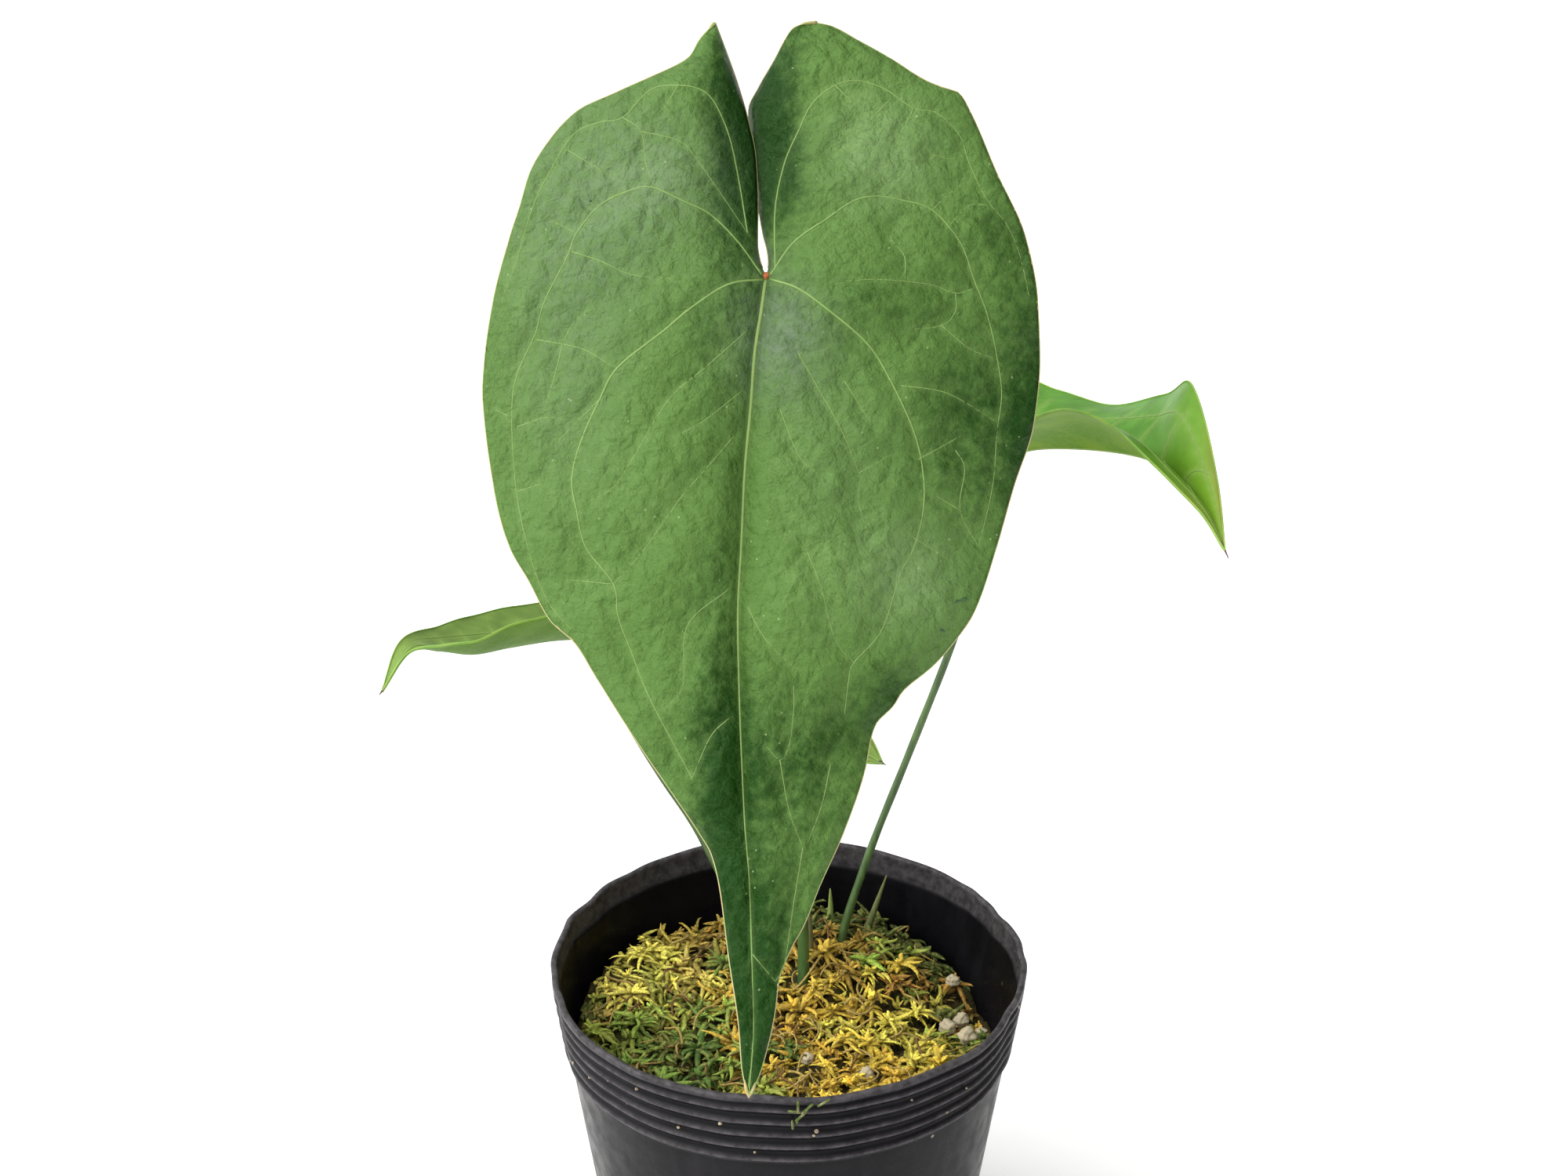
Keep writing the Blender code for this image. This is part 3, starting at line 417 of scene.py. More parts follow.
class Body:
    """Collects points, faces, materials and point values, and makes one mesh object of them."""

    def __init__(self):
        self.points = []
        self.faces = []
        self.slots = []
        self.values = {}
        self.count = 0

    def add(self, points, faces, slot=0, **values):
        points = np.asarray(points, float)
        for name, value in values.items():
            self.values.setdefault(name, []).append((self.count, len(points), value))
        self.faces += [tuple(int(corner) + self.count for corner in face) for face in faces]
        if isinstance(slot, int):
            self.slots += [slot] * len(faces)
        else:
            self.slots += list(slot)
        self.points.append(points)
        self.count += len(points)

    def add_tube(self, path, radii, sides, slot=0, round_start=False, **values):
        points, faces = tube(path, radii, sides, round_start)
        self.add(points, faces, slot, **values)

    def make(self, name, materials, outward=False):
        mesh = bpy.data.meshes.new(name)
        mesh.from_pydata((np.vstack(self.points) * MM).tolist(), [], self.faces)
        mesh.polygons.foreach_set("use_smooth", [True] * len(self.faces))
        mesh.polygons.foreach_set("material_index", self.slots)
        for material in materials:
            mesh.materials.append(material)
        for value_name, pieces in self.values.items():
            coloured = np.shape(pieces[0][2])[-1:] == (3,)
            store = np.zeros((self.count, 3 if coloured else 1))
            for start, size, value in pieces:
                store[start:start + size] = value if coloured else np.reshape(value, (-1, 1))
            if coloured:
                store = np.column_stack((store, np.ones(self.count)))
            layer = mesh.attributes.new(value_name, "FLOAT_COLOR" if coloured else "FLOAT", "POINT")
            layer.data.foreach_set("color" if coloured else "value", store.ravel())
        if outward:
            shape = bmesh.new()
            shape.from_mesh(mesh)
            bmesh.ops.recalc_face_normals(shape, faces=shape.faces)
            shape.to_mesh(mesh)
            shape.free()
        piece = bpy.data.objects.new(name, mesh)
        bpy.context.scene.collection.objects.link(piece)
        return piece


def ring_faces(rings, sides):
    """Faces of a closed body: a start point, then rings of points, then an end point."""
    faces = []
    for side in range(sides):
        after = (side + 1) % sides
        faces.append((0, 1 + after, 1 + side))
        for ring in range(rings - 1):
            low = 1 + ring * sides
            faces.append((low + side, low + after, low + sides + after, low + sides + side))
        top = 1 + (rings - 1) * sides
        faces.append((top + side, top + after, top + sides))
    return faces


def full_turn(sides):
    """Angles in radians, evenly spaced round a circle."""
    return 2 * math.pi * np.arange(sides) / sides


def tube(path, radii, sides, round_start=False):
    """Points and faces of a closed tube along a path, with a rounded far end."""
    path = np.asarray(path, float)
    radii = np.broadcast_to(np.asarray(radii, float), (len(path),)).copy()
    tangents = np.gradient(path, axis=0)
    tangents /= np.linalg.norm(tangents, axis=1)[:, None]
    lead = [(-math.sin(turn), math.cos(turn)) for turn in (1.2, 0.7)] if round_start else []
    tail = [(math.sin(turn), math.cos(turn)) for turn in (0.6, 1.1)]
    centres = [path[0] + tangents[0] * radii[0] * shift for shift, _ in lead] + list(path)
    centres += [path[-1] + tangents[-1] * radii[-1] * shift for shift, _ in tail]
    sizes = [radii[0] * size for _, size in lead] + list(radii) + [radii[-1] * size for _, size in tail]
    directions = [tangents[0]] * len(lead) + list(tangents) + [tangents[-1]] * len(tail)
    start = centres[0] - tangents[0] * radii[0] * (0.07 if round_start else 0.0)
    points = [start]
    across = np.cross(directions[0], (0.31, 1.0, 0.17))
    turns = full_turn(sides)
    for centre, size, direction in zip(centres, sizes, directions):
        across = across - direction * np.dot(across, direction)
        across /= np.linalg.norm(across)
        up = np.cross(direction, across)
        points += list(centre + size * (np.outer(np.cos(turns), across) + np.outer(np.sin(turns), up)))
    points.append(path[-1] + tangents[-1] * radii[-1])
    return np.array(points), ring_faces(len(centres), sides)


def sheet_from_halves(left, right, junction_row):
    """One sheet from two half blades of shape (rows, columns, 3) that share their midrib points.

    Returns points, faces, and for each point the half, row and column it was taken from.
    """
    rows, columns = left.shape[:2]
    index = np.zeros((2, rows, columns), int)
    points = []
    origins = []
    for side, half in enumerate((left, right)):
        for row in range(rows):
            for column in range(columns):
                shared_tip = row == rows - 1 and (column > 0 or side > 0)
                shared_midrib = side == 1 and column == 0 and row >= junction_row
                if shared_tip or shared_midrib:
                    index[side, row, column] = index[0, row, 0]
                elif row == 0 and column > 0:
                    index[side, row, column] = index[side, 0, 0]
                else:
                    index[side, row, column] = len(points)
                    points.append(half[row, column])
                    origins.append((side, row, column))
    faces = []
    for side in range(2):
        for row in range(rows - 1):
            for column in range(columns - 1):
                corners = (
                    index[side, row, column], index[side, row + 1, column],
                    index[side, row + 1, column + 1], index[side, row, column + 1],
                )
                face = tuple(dict.fromkeys(int(corner) for corner in corners))
                faces.append(face[::-1] if side == 0 else face)
    return np.array(points), faces, np.array(origins)


def thicken(points, faces, thickness):
    """Closed body with the given faces on top and a copy of them below, and the slot of each face."""
    corners = np.array([face if len(face) == 4 else (*face, face[2]) for face in faces])
    spread = points[corners]
    areas = np.cross(spread[:, 2] - spread[:, 0], spread[:, 3] - spread[:, 1])
    normals = np.zeros_like(points)
    for corner in range(4):
        np.add.at(normals, corners[:, corner], areas)
    normals /= np.linalg.norm(normals, axis=1)[:, None]
    count = len(points)
    edges = set()
    for face in faces:
        edges.update(zip(face, face[1:] + face[:1]))
    rim = [(b, a, a + count, b + count) for a, b in sorted(edges) if (b, a) not in edges]
    under = [tuple(corner + count for corner in reversed(face)) for face in faces]
    body = np.vstack((points, points - normals * thickness))
    kinds = [TOP] * len(faces) + [UNDER] * len(under) + [EDGE] * len(rim)
    return body, list(faces) + under + rim, kinds


# Materials

class Look:
    """A Principled material whose inputs are fed by procedural nodes."""

    def __init__(self, name, roughness, specular=0.5):
        self.material = bpy.data.materials.new(name)
        self.material.use_nodes = True
        self.nodes = self.material.node_tree.nodes
        self.links = self.material.node_tree.links
        self.shader = self.nodes["Principled BSDF"]
        self.shader.inputs["Roughness"].default_value = roughness
        self.shader.inputs["Specular IOR Level"].default_value = specular
        self.place = self.nodes.new("ShaderNodeTexCoord").outputs["Object"]

    def feed(self, socket, value):
        if isinstance(value, bpy.types.NodeSocket):
            self.links.new(value, socket)
        elif isinstance(value, tuple) and len(value) == 3 and socket.type == "RGBA":
            socket.default_value = (*value, 1.0)
        else:
            socket.default_value = value

    def node(self, kind, inputs, **settings):
        """A new node with these settings. inputs gives values or sockets by the input's name or number."""
        node = self.nodes.new("ShaderNode" + kind)
        for name, value in settings.items():
            setattr(node, name, value)
        for name, value in inputs.items():
            self.feed(node.inputs[name], value)
        return node

    def noise(self, size, detail=3.0, roughness=0.5, stretch=None):
        """Noise from 0 to 1 whose features are about size millimetres across."""
        place = self.place
        if stretch:
            place = self.node("Mapping", {"Vector": place, "Scale": stretch}).outputs["Vector"]
        inputs = {"Vector": place, "Scale": 1.0 / MM / size, "Detail": detail, "Roughness": roughness}
        return self.node("TexNoise", inputs).outputs["Fac"]

    def cells(self, size, feature="F1", wander=0.0):
        """Distance pattern of cells about size millimetres across, shifted by up to wander millimetres."""
        place = self.place
        if wander:
            swirl = self.node("TexNoise", {"Vector": place, "Scale": 1.0 / MM / size / 2}).outputs["Color"]
            inputs = {0: swirl, 1: (wander * MM,) * 3, 2: place}
            place = self.node("VectorMath", inputs, operation="MULTIPLY_ADD").outputs["Vector"]
        inputs = {"Vector": place, "Scale": 1.0 / MM / size}
        return self.node("TexVoronoi", inputs, feature=feature).outputs["Distance"]

    def value(self, name):
        return self.node("Attribute", {}, attribute_name=name).outputs["Fac"]

    def tint(self, name):
        return self.node("Attribute", {}, attribute_name=name).outputs["Color"]

    def between(self, value, low, high, bottom=0.0, top=1.0):
        """Maps low..high smoothly to bottom..top."""
        inputs = {"Value": value, "From Min": low, "From Max": high, "To Min": bottom, "To Max": top}
        return self.node("MapRange", inputs, interpolation_type="SMOOTHSTEP").outputs["Result"]

    def math(self, operation, first, second):
        return self.node("Math", {0: first, 1: second}, operation=operation).outputs["Value"]

    def mix(self, factor, first, second):
        return self.node("Mix", {"Factor": factor, 6: first, 7: second}, data_type="RGBA").outputs[2]

    def bump(self, height, depth, strength=1.0):
        """Adds relief of this depth in millimetres over what is already there."""
        normal = self.shader.inputs["Normal"]
        inputs = {"Height": height, "Strength": strength, "Distance": depth * MM}
        if normal.is_linked:
            inputs["Normal"] = normal.links[0].from_socket
        self.links.new(self.node("Bump", inputs).outputs["Normal"], normal)

    def colour(self, value):
        self.feed(self.shader.inputs["Base Color"], value)

    def roughness(self, value):
        self.feed(self.shader.inputs["Roughness"], value)


def leaf_look(name, deep, middle, light, vein, roughness=0.4):
    look = Look(name, roughness, 0.10)
    broad = look.between(look.noise(24, 2), 0.3, 0.7, -0.06, 0.06)
    fine = look.between(look.noise(2.8, 5, 0.65), 0.3, 0.7, -0.10, 0.09)
    # The tone value is the blade's own tone plus painted light and shade, so the deep colour mostly paints
    # shade
    tone = look.math("ADD", look.value("tone"), look.math("ADD", broad, fine))
    green = look.mix(look.between(tone, 0.0, 0.5), deep, middle)
    green = look.mix(look.between(tone, 0.5, 1.0), green, light)
    # Painted sheen: the colour goes towards grey-green where the blade would reflect the soft light
    patchy = look.between(look.noise(2.0, 4, 0.6), 0.3, 0.7, 0.4, 1.0)
    green = look.mix(look.math("MULTIPLY", look.value("wax"), patchy), green, (0.138, 0.186, 0.126))
    meshwork = look.cells(3.1, "DISTANCE_TO_EDGE", 2.6)
    green = look.mix(look.between(meshwork, 0.0, 0.10, 0.03, 0.0), green, vein)
    green = look.mix(look.math("MULTIPLY", look.value("vein"), 0.12), green, vein)
    specks = look.between(look.cells(3.0), 0.06, 0.10, 1.0, 0.0)
    specks = look.math("MULTIPLY", specks, look.between(look.noise(9, 1), 0.5, 0.6))
    green = look.mix(look.math("MULTIPLY", specks, 0.35), green, (0.42, 0.52, 0.28))
    look.colour(green)
    look.roughness(look.between(look.noise(3.0, 3), 0.3, 0.7, roughness - 0.05, roughness + 0.08))
    look.bump(look.cells(6.0, "DISTANCE_TO_EDGE", 5.0), 1.6, 0.8)
    look.bump(look.noise(2.4, 4, 0.6), 1.5, 0.9)
    look.bump(look.noise(0.8, 3), 0.2, 0.6)
    return look.material


def vein_look(name, green, pale):
    look = Look(name, 0.4)
    shade = look.between(look.noise(6, 2), 0.3, 0.7, 0.85, 1.0)
    mixed = look.mix(look.math("MULTIPLY", look.value("pale"), shade), green, pale)
    look.colour(mixed)
    look.bump(look.noise(0.5, 2), 0.05, 0.5)
    return look.material


def margin_look(name, first, second):
    look = Look(name, 0.45)
    look.colour(look.mix(look.between(look.noise(7, 3), 0.35, 0.65), first, second))
    look.bump(look.noise(0.6, 2), 0.05, 0.5)
    return look.material


def underside_look(name, first, second):
    look = Look(name, 0.55, 0.07)
    mottled = look.mix(look.between(look.noise(12, 4), 0.3, 0.7), first, second)
    meshwork = look.between(look.cells(2.6, "DISTANCE_TO_EDGE", 1.6), 0.0, 0.16, 0.3, 0.0)
    look.colour(look.mix(meshwork, mottled, (0.15, 0.24, 0.04)))
    look.bump(look.cells(5.5, "DISTANCE_TO_EDGE", 4.0), 0.3, 0.5)
    look.bump(look.noise(0.8, 4), 0.08, 0.5)
    return look.material


def young_leaf_look(name, green, ripe, edge_colour):
    """A young blade that ripens towards its tip, with a reddish edge there."""
    look = Look(name, 0.40, 0.15)
    fine = look.between(look.noise(5, 4), 0.3, 0.7)
    body = look.mix(fine, green, tuple(channel * 1.35 for channel in green))
    body = look.mix(look.value("ripe"), body, ripe)
    body = look.mix(look.math("MULTIPLY", look.value("vein"), 0.5), body, (0.22, 0.34, 0.07))
    body = look.mix(look.value("blush"), body, edge_colour)
    look.colour(body)
    look.bump(look.cells(4.5, "DISTANCE_TO_EDGE", 3.0), 0.2, 0.5)
    look.bump(look.noise(1.0, 4), 0.1, 0.5)
    return look.material


def stem_look(name, first, second, roughness):
    look = Look(name, roughness)
    streaks = look.noise(1.6, 4, 0.6, (1.0, 1.0, 0.08))
    patches = look.noise(14, 3)
    body = look.mix(look.between(streaks, 0.3, 0.7), first, second)
    shaded = tuple(channel * 0.55 for channel in first)
    look.colour(look.mix(look.between(patches, 0.45, 0.75, 0.0, 0.5), body, shaded))
    look.bump(streaks, 0.12, 0.6)
    look.bump(look.noise(0.4, 3), 0.03, 0.5)
    return look.material


def pot_look():
    look = Look("pot_plastic", 0.34, 0.09)
    streaks = look.noise(7, 4, 0.6, (1.0, 1.0, 0.14))
    patches = look.noise(16, 5, 0.6)
    worn = look.between(look.noise(2.4, 5, 0.65), 0.32, 0.68, 0.35, 1.0)
    # The dust value mixes the black towards grey: dust on the foot, dust with painted light on the lip and
    # collar band, and a painted highlight on the ridge crests
    dust = look.math("MULTIPLY", look.value("dust"), worn)
    black = look.mix(look.between(patches, 0.3, 0.7), (0.0030, 0.0027, 0.0035), (0.0060, 0.0055, 0.0070))
    black = look.mix(look.between(streaks, 0.5, 0.75, 0.0, 0.35), black, (0.013, 0.012, 0.015))
    dusty = look.mix(dust, black, (0.085, 0.078, 0.084))
    specks = look.between(look.cells(6.0), 0.06, 0.12, 1.0, 0.0)
    specks = look.math("MULTIPLY", specks, look.between(look.noise(18, 2), 0.55, 0.65))
    dusty = look.mix(look.math("MULTIPLY", specks, look.value("speckled")), dusty, (0.30, 0.25, 0.20))
    look.colour(dusty)
    look.roughness(look.between(look.noise(5, 4), 0.3, 0.7, 0.26, 0.42))
    look.bump(look.noise(9, 3, 0.5, (1.0, 1.0, 0.3)), 0.35, 0.5)
    look.bump(look.noise(0.7, 4), 0.04, 0.5)
    return look.material


def moss_look(name, glow):
    look = Look(name, 0.75, 0.25)
    scales = look.cells(0.55)
    # Painted shade: the colour darkens towards near-black away from the middle of each tiny scale, in the
    # gaps between them
    body = look.mix(look.between(scales, 0.1, 0.7, 0.0, 0.45), look.tint("tint"), (0.02, 0.025, 0.008))
    body = look.mix(look.between(look.noise(1.6, 3), 0.4, 0.75, 0.0, 0.35), body, glow)
    look.colour(body)
    look.bump(scales, 0.18, 0.8)
    look.bump(look.noise(0.3, 3), 0.05, 0.6)
    return look.material


def bed_look():
    look = Look("moss_bed", 0.9, 0.2)
    lumps = look.noise(3.0, 5, 0.65)
    body = look.mix(look.between(lumps, 0.3, 0.7), (0.012, 0.010, 0.004), (0.075, 0.055, 0.018))
    body = look.mix(look.between(look.noise(7, 3), 0.5, 0.7, 0.0, 0.6), body, (0.05, 0.075, 0.014))
    look.colour(body)
    look.bump(lumps, 1.6, 1.0)
    look.bump(look.noise(0.7, 4), 0.4, 0.8)
    return look.material


def grain_look():
    look = Look("perlite", 0.85, 0.3)
    pits = look.noise(0.8, 4, 0.6)
    body = look.mix(look.between(pits, 0.35, 0.6), (0.30, 0.24, 0.17), (0.72, 0.66, 0.56))
    look.colour(look.mix(look.between(look.noise(2.5, 3), 0.45, 0.75, 0.0, 0.5), body, (0.55, 0.40, 0.22)))
    look.bump(pits, 0.4, 0.9)
    return look.material


# Nursery pot

def wall_radius(height):
    return RIM_RADIUS - LIP_SWELL - WALL_TAPER * (POT_HEIGHT - height)


def pot_profile():
    """(radius, height, dust) from the middle of the underside, over the lip, to the middle of the floor. The
    last value lightens the black: dust on the foot, dust with painted light on the lip and inner collar
    band, and a painted highlight on the ridge crests.
    """
    profile = [(0.0, 0.0, 0.0)]
    profile += [(radius, 0.0, 0.0) for radius in (12.0, 20.0, 24.0, 28.0, 32.0, 36.0, 40.0)]
    foot = wall_radius(0)
    profile += [(foot - 1.5, 0.0, 0.1), (foot - 0.7, 0.12, 0.2), (foot - 0.2, 0.6, 0.25)]
    profile += [(foot + 0.1, 1.5, 0.15)]
    profile += [(wall_radius(height), height, 0.05) for height in np.linspace(4, RIDGE_FOOT - 2.0, 30)]
    top_trough = RIDGE_FOOT + RIDGE_COUNT * RIDGE_PITCH
    for height in np.arange(RIDGE_FOOT, top_trough, RIDGE_PITCH / 12):
        # Painted highlight: the crests get a lighter value than the grooves between them
        crest = abs(math.sin(math.pi * (height - RIDGE_FOOT) / RIDGE_PITCH)) ** 3
        profile.append((wall_radius(height) + RIDGE_DEPTH * crest, height, 0.9 * crest ** 3))
    lip = wall_radius(POT_HEIGHT)
    profile += [
        (lip + 0.1, LIP_FOOT + 0.1, 0.15), (lip + 0.55, LIP_FOOT + 0.35, 0.3),
        (lip + 0.75, LIP_FOOT + 0.8, 0.5), (lip + 0.8, 104.3, 0.7), (lip + 0.7, 104.75, 0.9),
        (lip + 0.4, 105.0, 1.0), (lip - 0.1, 105.05, 1.0), (lip - 0.6, 105.0, 1.0),
        (lip - 0.85, 104.6, 1.0), (lip - 0.75, 103.9, 0.9),
    ]
    # Inner collar band: partly dust and partly painted light where the band catches the light at a grazing
    # angle
    for height, dust in ((103.0, 0.85), (102.0, 0.8), (101.0, 0.8), (100.2, 0.7), (99.7, 0.5)):
        profile.append((wall_radius(height) - WALL + 0.35, height, dust))
    inside = (99.2, 98.5, 97.5, 96.0, 94.0, 91.5, 89.0, 86.0, 82.0, 77.0, 70.0, 60.0, 45.0, 30.0, 15.0, 5.0)
    profile += [(wall_radius(height) - WALL, height, 0.0) for height in inside]
    profile += [(wall_radius(FLOOR) - WALL, FLOOR, 0.0)]
    profile += [(radius, FLOOR, 0.0) for radius in (40.0, 34.0, 28.0, 22.0, 12.0)]
    profile.append((0.0, FLOOR, 0.0))
    return profile


def rim_wave(turns):
    """How far the soft wall bulges outwards near the rim, for angles in radians."""
    wave = 0.40 * np.sin(2 * turns + 0.6) + 0.30 * np.sin(3 * turns + 2.1) + 0.22 * np.sin(5 * turns + 0.3)
    wave += 0.16 * np.sin(9 * turns + 1.0) + 0.10 * np.sin(17 * turns + 0.4)
    for degrees, width, amount in DENTS:
        gap = np.degrees(np.angle(np.exp(1j * (turns - math.radians(degrees)))))
        wave += amount * np.exp(-((gap / width) ** 2))
    return wave


def make_drain_cutter():
    """Round posts that stand where the floor has its holes."""
    body = Body()
    sides = DRAIN_SIDES
    turns = full_turn(sides)
    walls = [(side, (side + 1) % sides, (side + 1) % sides + sides, side + sides) for side in range(sides)]
    ends = [tuple(range(sides - 1, -1, -1)), tuple(range(sides, 2 * sides))]
    for number in range(DRAIN_COUNT):
        angle = 2 * math.pi * (number + 0.5) / DRAIN_COUNT
        x = DRAIN_RING * math.cos(angle) + DRAIN_RADIUS * np.cos(turns)
        y = DRAIN_RING * math.sin(angle) + DRAIN_RADIUS * np.sin(turns)
        rings = [np.column_stack((x, y, np.full(sides, z))) for z in (-2.0, FLOOR + 2.0)]
        body.add(np.vstack(rings), walls + ends)
    return body.make("drain_cutter", [])


def make_pot():
    profile = np.array(pot_profile())
    sides = POT_SIDES
    turns = full_turn(sides)
    radius, height, dust = profile[1:-1].T
    hold = np.clip((height - 55.0) / 50.0, 0.0, 1.0) ** 1.6
    ring = radius[:, None] + hold[:, None] * rim_wave(turns)[None, :]
    lift = 0.35 * np.sin(3 * turns + 1.0) + 0.25 * np.sin(7 * turns + 2.0) + 0.5 * rim_wave(turns + 0.3)
    lift += 2.2 * np.clip(np.sin(turns - 0.25), 0.0, 1.0) ** 1.5
    rise = height[:, None] + (hold ** 3)[:, None] * lift[None, :]
    shaken = np.stack((ring * np.cos(turns), ring * np.sin(turns), rise), axis=2).reshape(-1, 3)
    points = np.vstack(((0.0, 0.0, profile[0, 1]), shaken, (0.0, 0.0, profile[-1, 1])))
    rings = len(radius)
    outside = np.arange(rings) < np.argmax(height) + 2
    speckled = np.where(outside & (height > 60.0), 1.0, 0.15)
    body = Body()
    body.add(
        points, ring_faces(rings, sides),
        dust=np.concatenate(([0.0], np.repeat(dust, sides), [0.0])),
        speckled=np.concatenate(([0.0], np.repeat(speckled, sides), [0.0])),
    )
    pot = body.make("pot_wall", [pot_look()], outward=True)
    cutter = make_drain_cutter()
    step = pot.modifiers.new("drains", "BOOLEAN")
    step.operation = "DIFFERENCE"
    step.solver = "EXACT"
    step.object = cutter
    bpy.context.view_layer.update()
    graph = bpy.context.evaluated_depsgraph_get()
    drained = bpy.data.meshes.new_from_object(pot.evaluated_get(graph))
    pot.modifiers.remove(step)
    pot.data = drained
    bpy.data.objects.remove(cutter, do_unlink=True)
    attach(pot, "root")
    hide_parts("nursery_pot")


# Moss, grains and crumbs

def moss_height(x, y):
    height = MOSS_LEVEL + 0.0 * x
    for centre_x, centre_y, reach, amount in MOSS_LUMPS:
        height = height + amount * np.exp(-((x - centre_x) ** 2 + (y - centre_y) ** 2) / reach ** 2)
    return height + 0.9 * np.sin(0.31 * x + 1.0) * np.cos(0.27 * y) + 0.6 * np.sin(0.53 * y - 0.37 * x)


def inner_radius(height):
    return wall_radius(height) - WALL


def make_bed():
    """The dark, lumpy bed under the sprigs: a closed plug that reaches down to the potting mix."""
    rings, sides = BED_RINGS, BED_SIDES
    turns = full_turn(sides)
    edge = inner_radius(MOSS_EDGE_LEVEL) - 0.6
    radii = edge * (np.arange(1, rings + 1) / rings)
    x = radii[:, None] * np.cos(turns)
    y = radii[:, None] * np.sin(turns)
    z = moss_height(x, y) - BED_DEPTH
    z += 0.9 * np.sin(0.9 * x + 0.4) * np.sin(1.1 * y)
    z += 0.5 * np.sin(2.1 * x - 1.7 * y) + 0.3 * np.sin(3.7 * y + 1.3 * x)
    z[-1] = np.minimum(z[-1], 82.0)
    top = np.stack((x, y, z), axis=2).reshape(-1, 3)
    low_edge = inner_radius(BED_FOOT + 0.1) - 0.6
    foot = np.column_stack((low_edge * np.cos(turns), low_edge * np.sin(turns), np.full(sides, BED_FOOT)))
    middle = (0.0, 0.0, float(moss_height(0.0, 0.0)) - BED_DEPTH)
    points = np.vstack((middle, top, foot, (0.0, 0.0, BED_FOOT)))
    body = Body()
    body.add(points, ring_faces(rings + 1, sides))
    return body.make("moss_bed", [bed_look()], outward=True)


def zone_colour(x, y, chance, blend):
    """A moss colour for a place: zones are picked by nearness, then blended between their two colours."""
    centre_x, centre_y, reach = np.array([zone[:3] for zone in MOSS_ZONES], float).T
    weights = np.exp(-((x - centre_x) ** 2 + (y - centre_y) ** 2) / (reach * 1.25) ** 2) + 1e-6
    pick = int(np.searchsorted(np.cumsum(weights) / weights.sum(), chance))
    first, second = MOSS_ZONES[min(pick, len(MOSS_ZONES) - 1)][3:]
    return np.array(first) * (1 - blend) + np.array(second) * blend


def add_arms(body, starts, headings, rises, lengths, radii, droops, curls, tints):
    """Curved tapered arms, one for each row of the arrays, as closed five-sided tubes."""
    count = len(starts)
    steps = np.linspace(0.0, 1.0, 6)
    sides = 5
    up = np.array((0.0, 0.0, 1.0))
    flat = np.column_stack((np.cos(headings), np.sin(headings), np.zeros(count)))
    sideways = np.column_stack((-np.sin(headings), np.cos(headings), np.zeros(count)))
    reach = lengths[:, None] * steps
    out = reach * np.cos(rises)[:, None]
    climb = reach * np.sin(rises)[:, None] - droops[:, None] * lengths[:, None] * steps ** 2
    curl = curls[:, None] * lengths[:, None] * np.sin(math.pi * 0.75 * steps) * steps
    path = starts[:, None, :] + out[:, :, None] * flat[:, None, :] + climb[:, :, None] * up
    path = path + curl[:, :, None] * sideways[:, None, :]
    along = np.gradient(path, axis=1)
    along /= np.linalg.norm(along, axis=2)[:, :, None]
    side = np.cross(flat, up)[:, None, :] * np.ones((1, len(steps), 1))
    over = np.cross(side, along)
    swell = np.array((0.55, 1.0, 1.05, 0.9, 0.6, 0.12))
    size = radii[:, None] * swell
    turns = full_turn(sides)
    round_it = np.cos(turns)[:, None] * side[:, :, None, :]
    round_it = round_it + 0.6 * np.sin(turns)[:, None] * over[:, :, None, :]
    points = (path[:, :, None, :] + size[:, :, None, None] * round_it).reshape(-1, 3)
    pattern = []
    for step in range(len(steps) - 1):
        for corner in range(sides):
            after = (corner + 1) % sides
            low = step * sides
            pattern.append((low + corner, low + after, low + sides + after, low + sides + corner))
    caps = [tuple(range(sides - 1, -1, -1)), tuple(range((len(steps) - 1) * sides, len(steps) * sides))]
    faces = []
    for number in range(count):
        base = number * sides * len(steps)
        faces += [tuple(corner + base for corner in face) for face in pattern + caps]
    fade = np.array((0.45, 0.7, 0.95, 1.05, 1.15, 1.2))
    shades = tints[:, None, None, :] * fade[None, :, None, None] * np.ones((1, 1, sides, 1))
    body.add(points, faces, tint=shades.reshape(-1, 3))


def clump(x, y):
    """Cushions of moss a centimetre or so across, with hollows between them."""
    wave = math.sin(0.52 * x + 0.8 * math.sin(0.31 * y))
    wave *= math.sin(0.47 * y + 0.9 * math.sin(0.37 * x) + 1.0)
    return 2.6 * wave - 0.4


def stem_clearance(x, y):
    """True away from the petioles, so that sprigs don't grow over them."""
    return all(math.hypot(x - stem_x, y - stem_y) > 3.0 for stem_x, stem_y in STEM_SPOTS)


def scatter_heads():
    """Places of the tufts: random, one spacing or more apart, inside the pot and clear of the petioles."""
    heads = []
    spacing = TUFT_SPACING
    for _ in range(TUFT_TRIES):
        x, y = RANDOM.uniform(-55, 55, 2)
        if math.hypot(x, y) > inner_radius(MOSS_EDGE_LEVEL) - 3.0 or not stem_clearance(x, y):
            continue
        if all(math.hypot(x - head_x, y - head_y) >= spacing for head_x, head_y in heads):
            heads.append((x, y))
    return heads


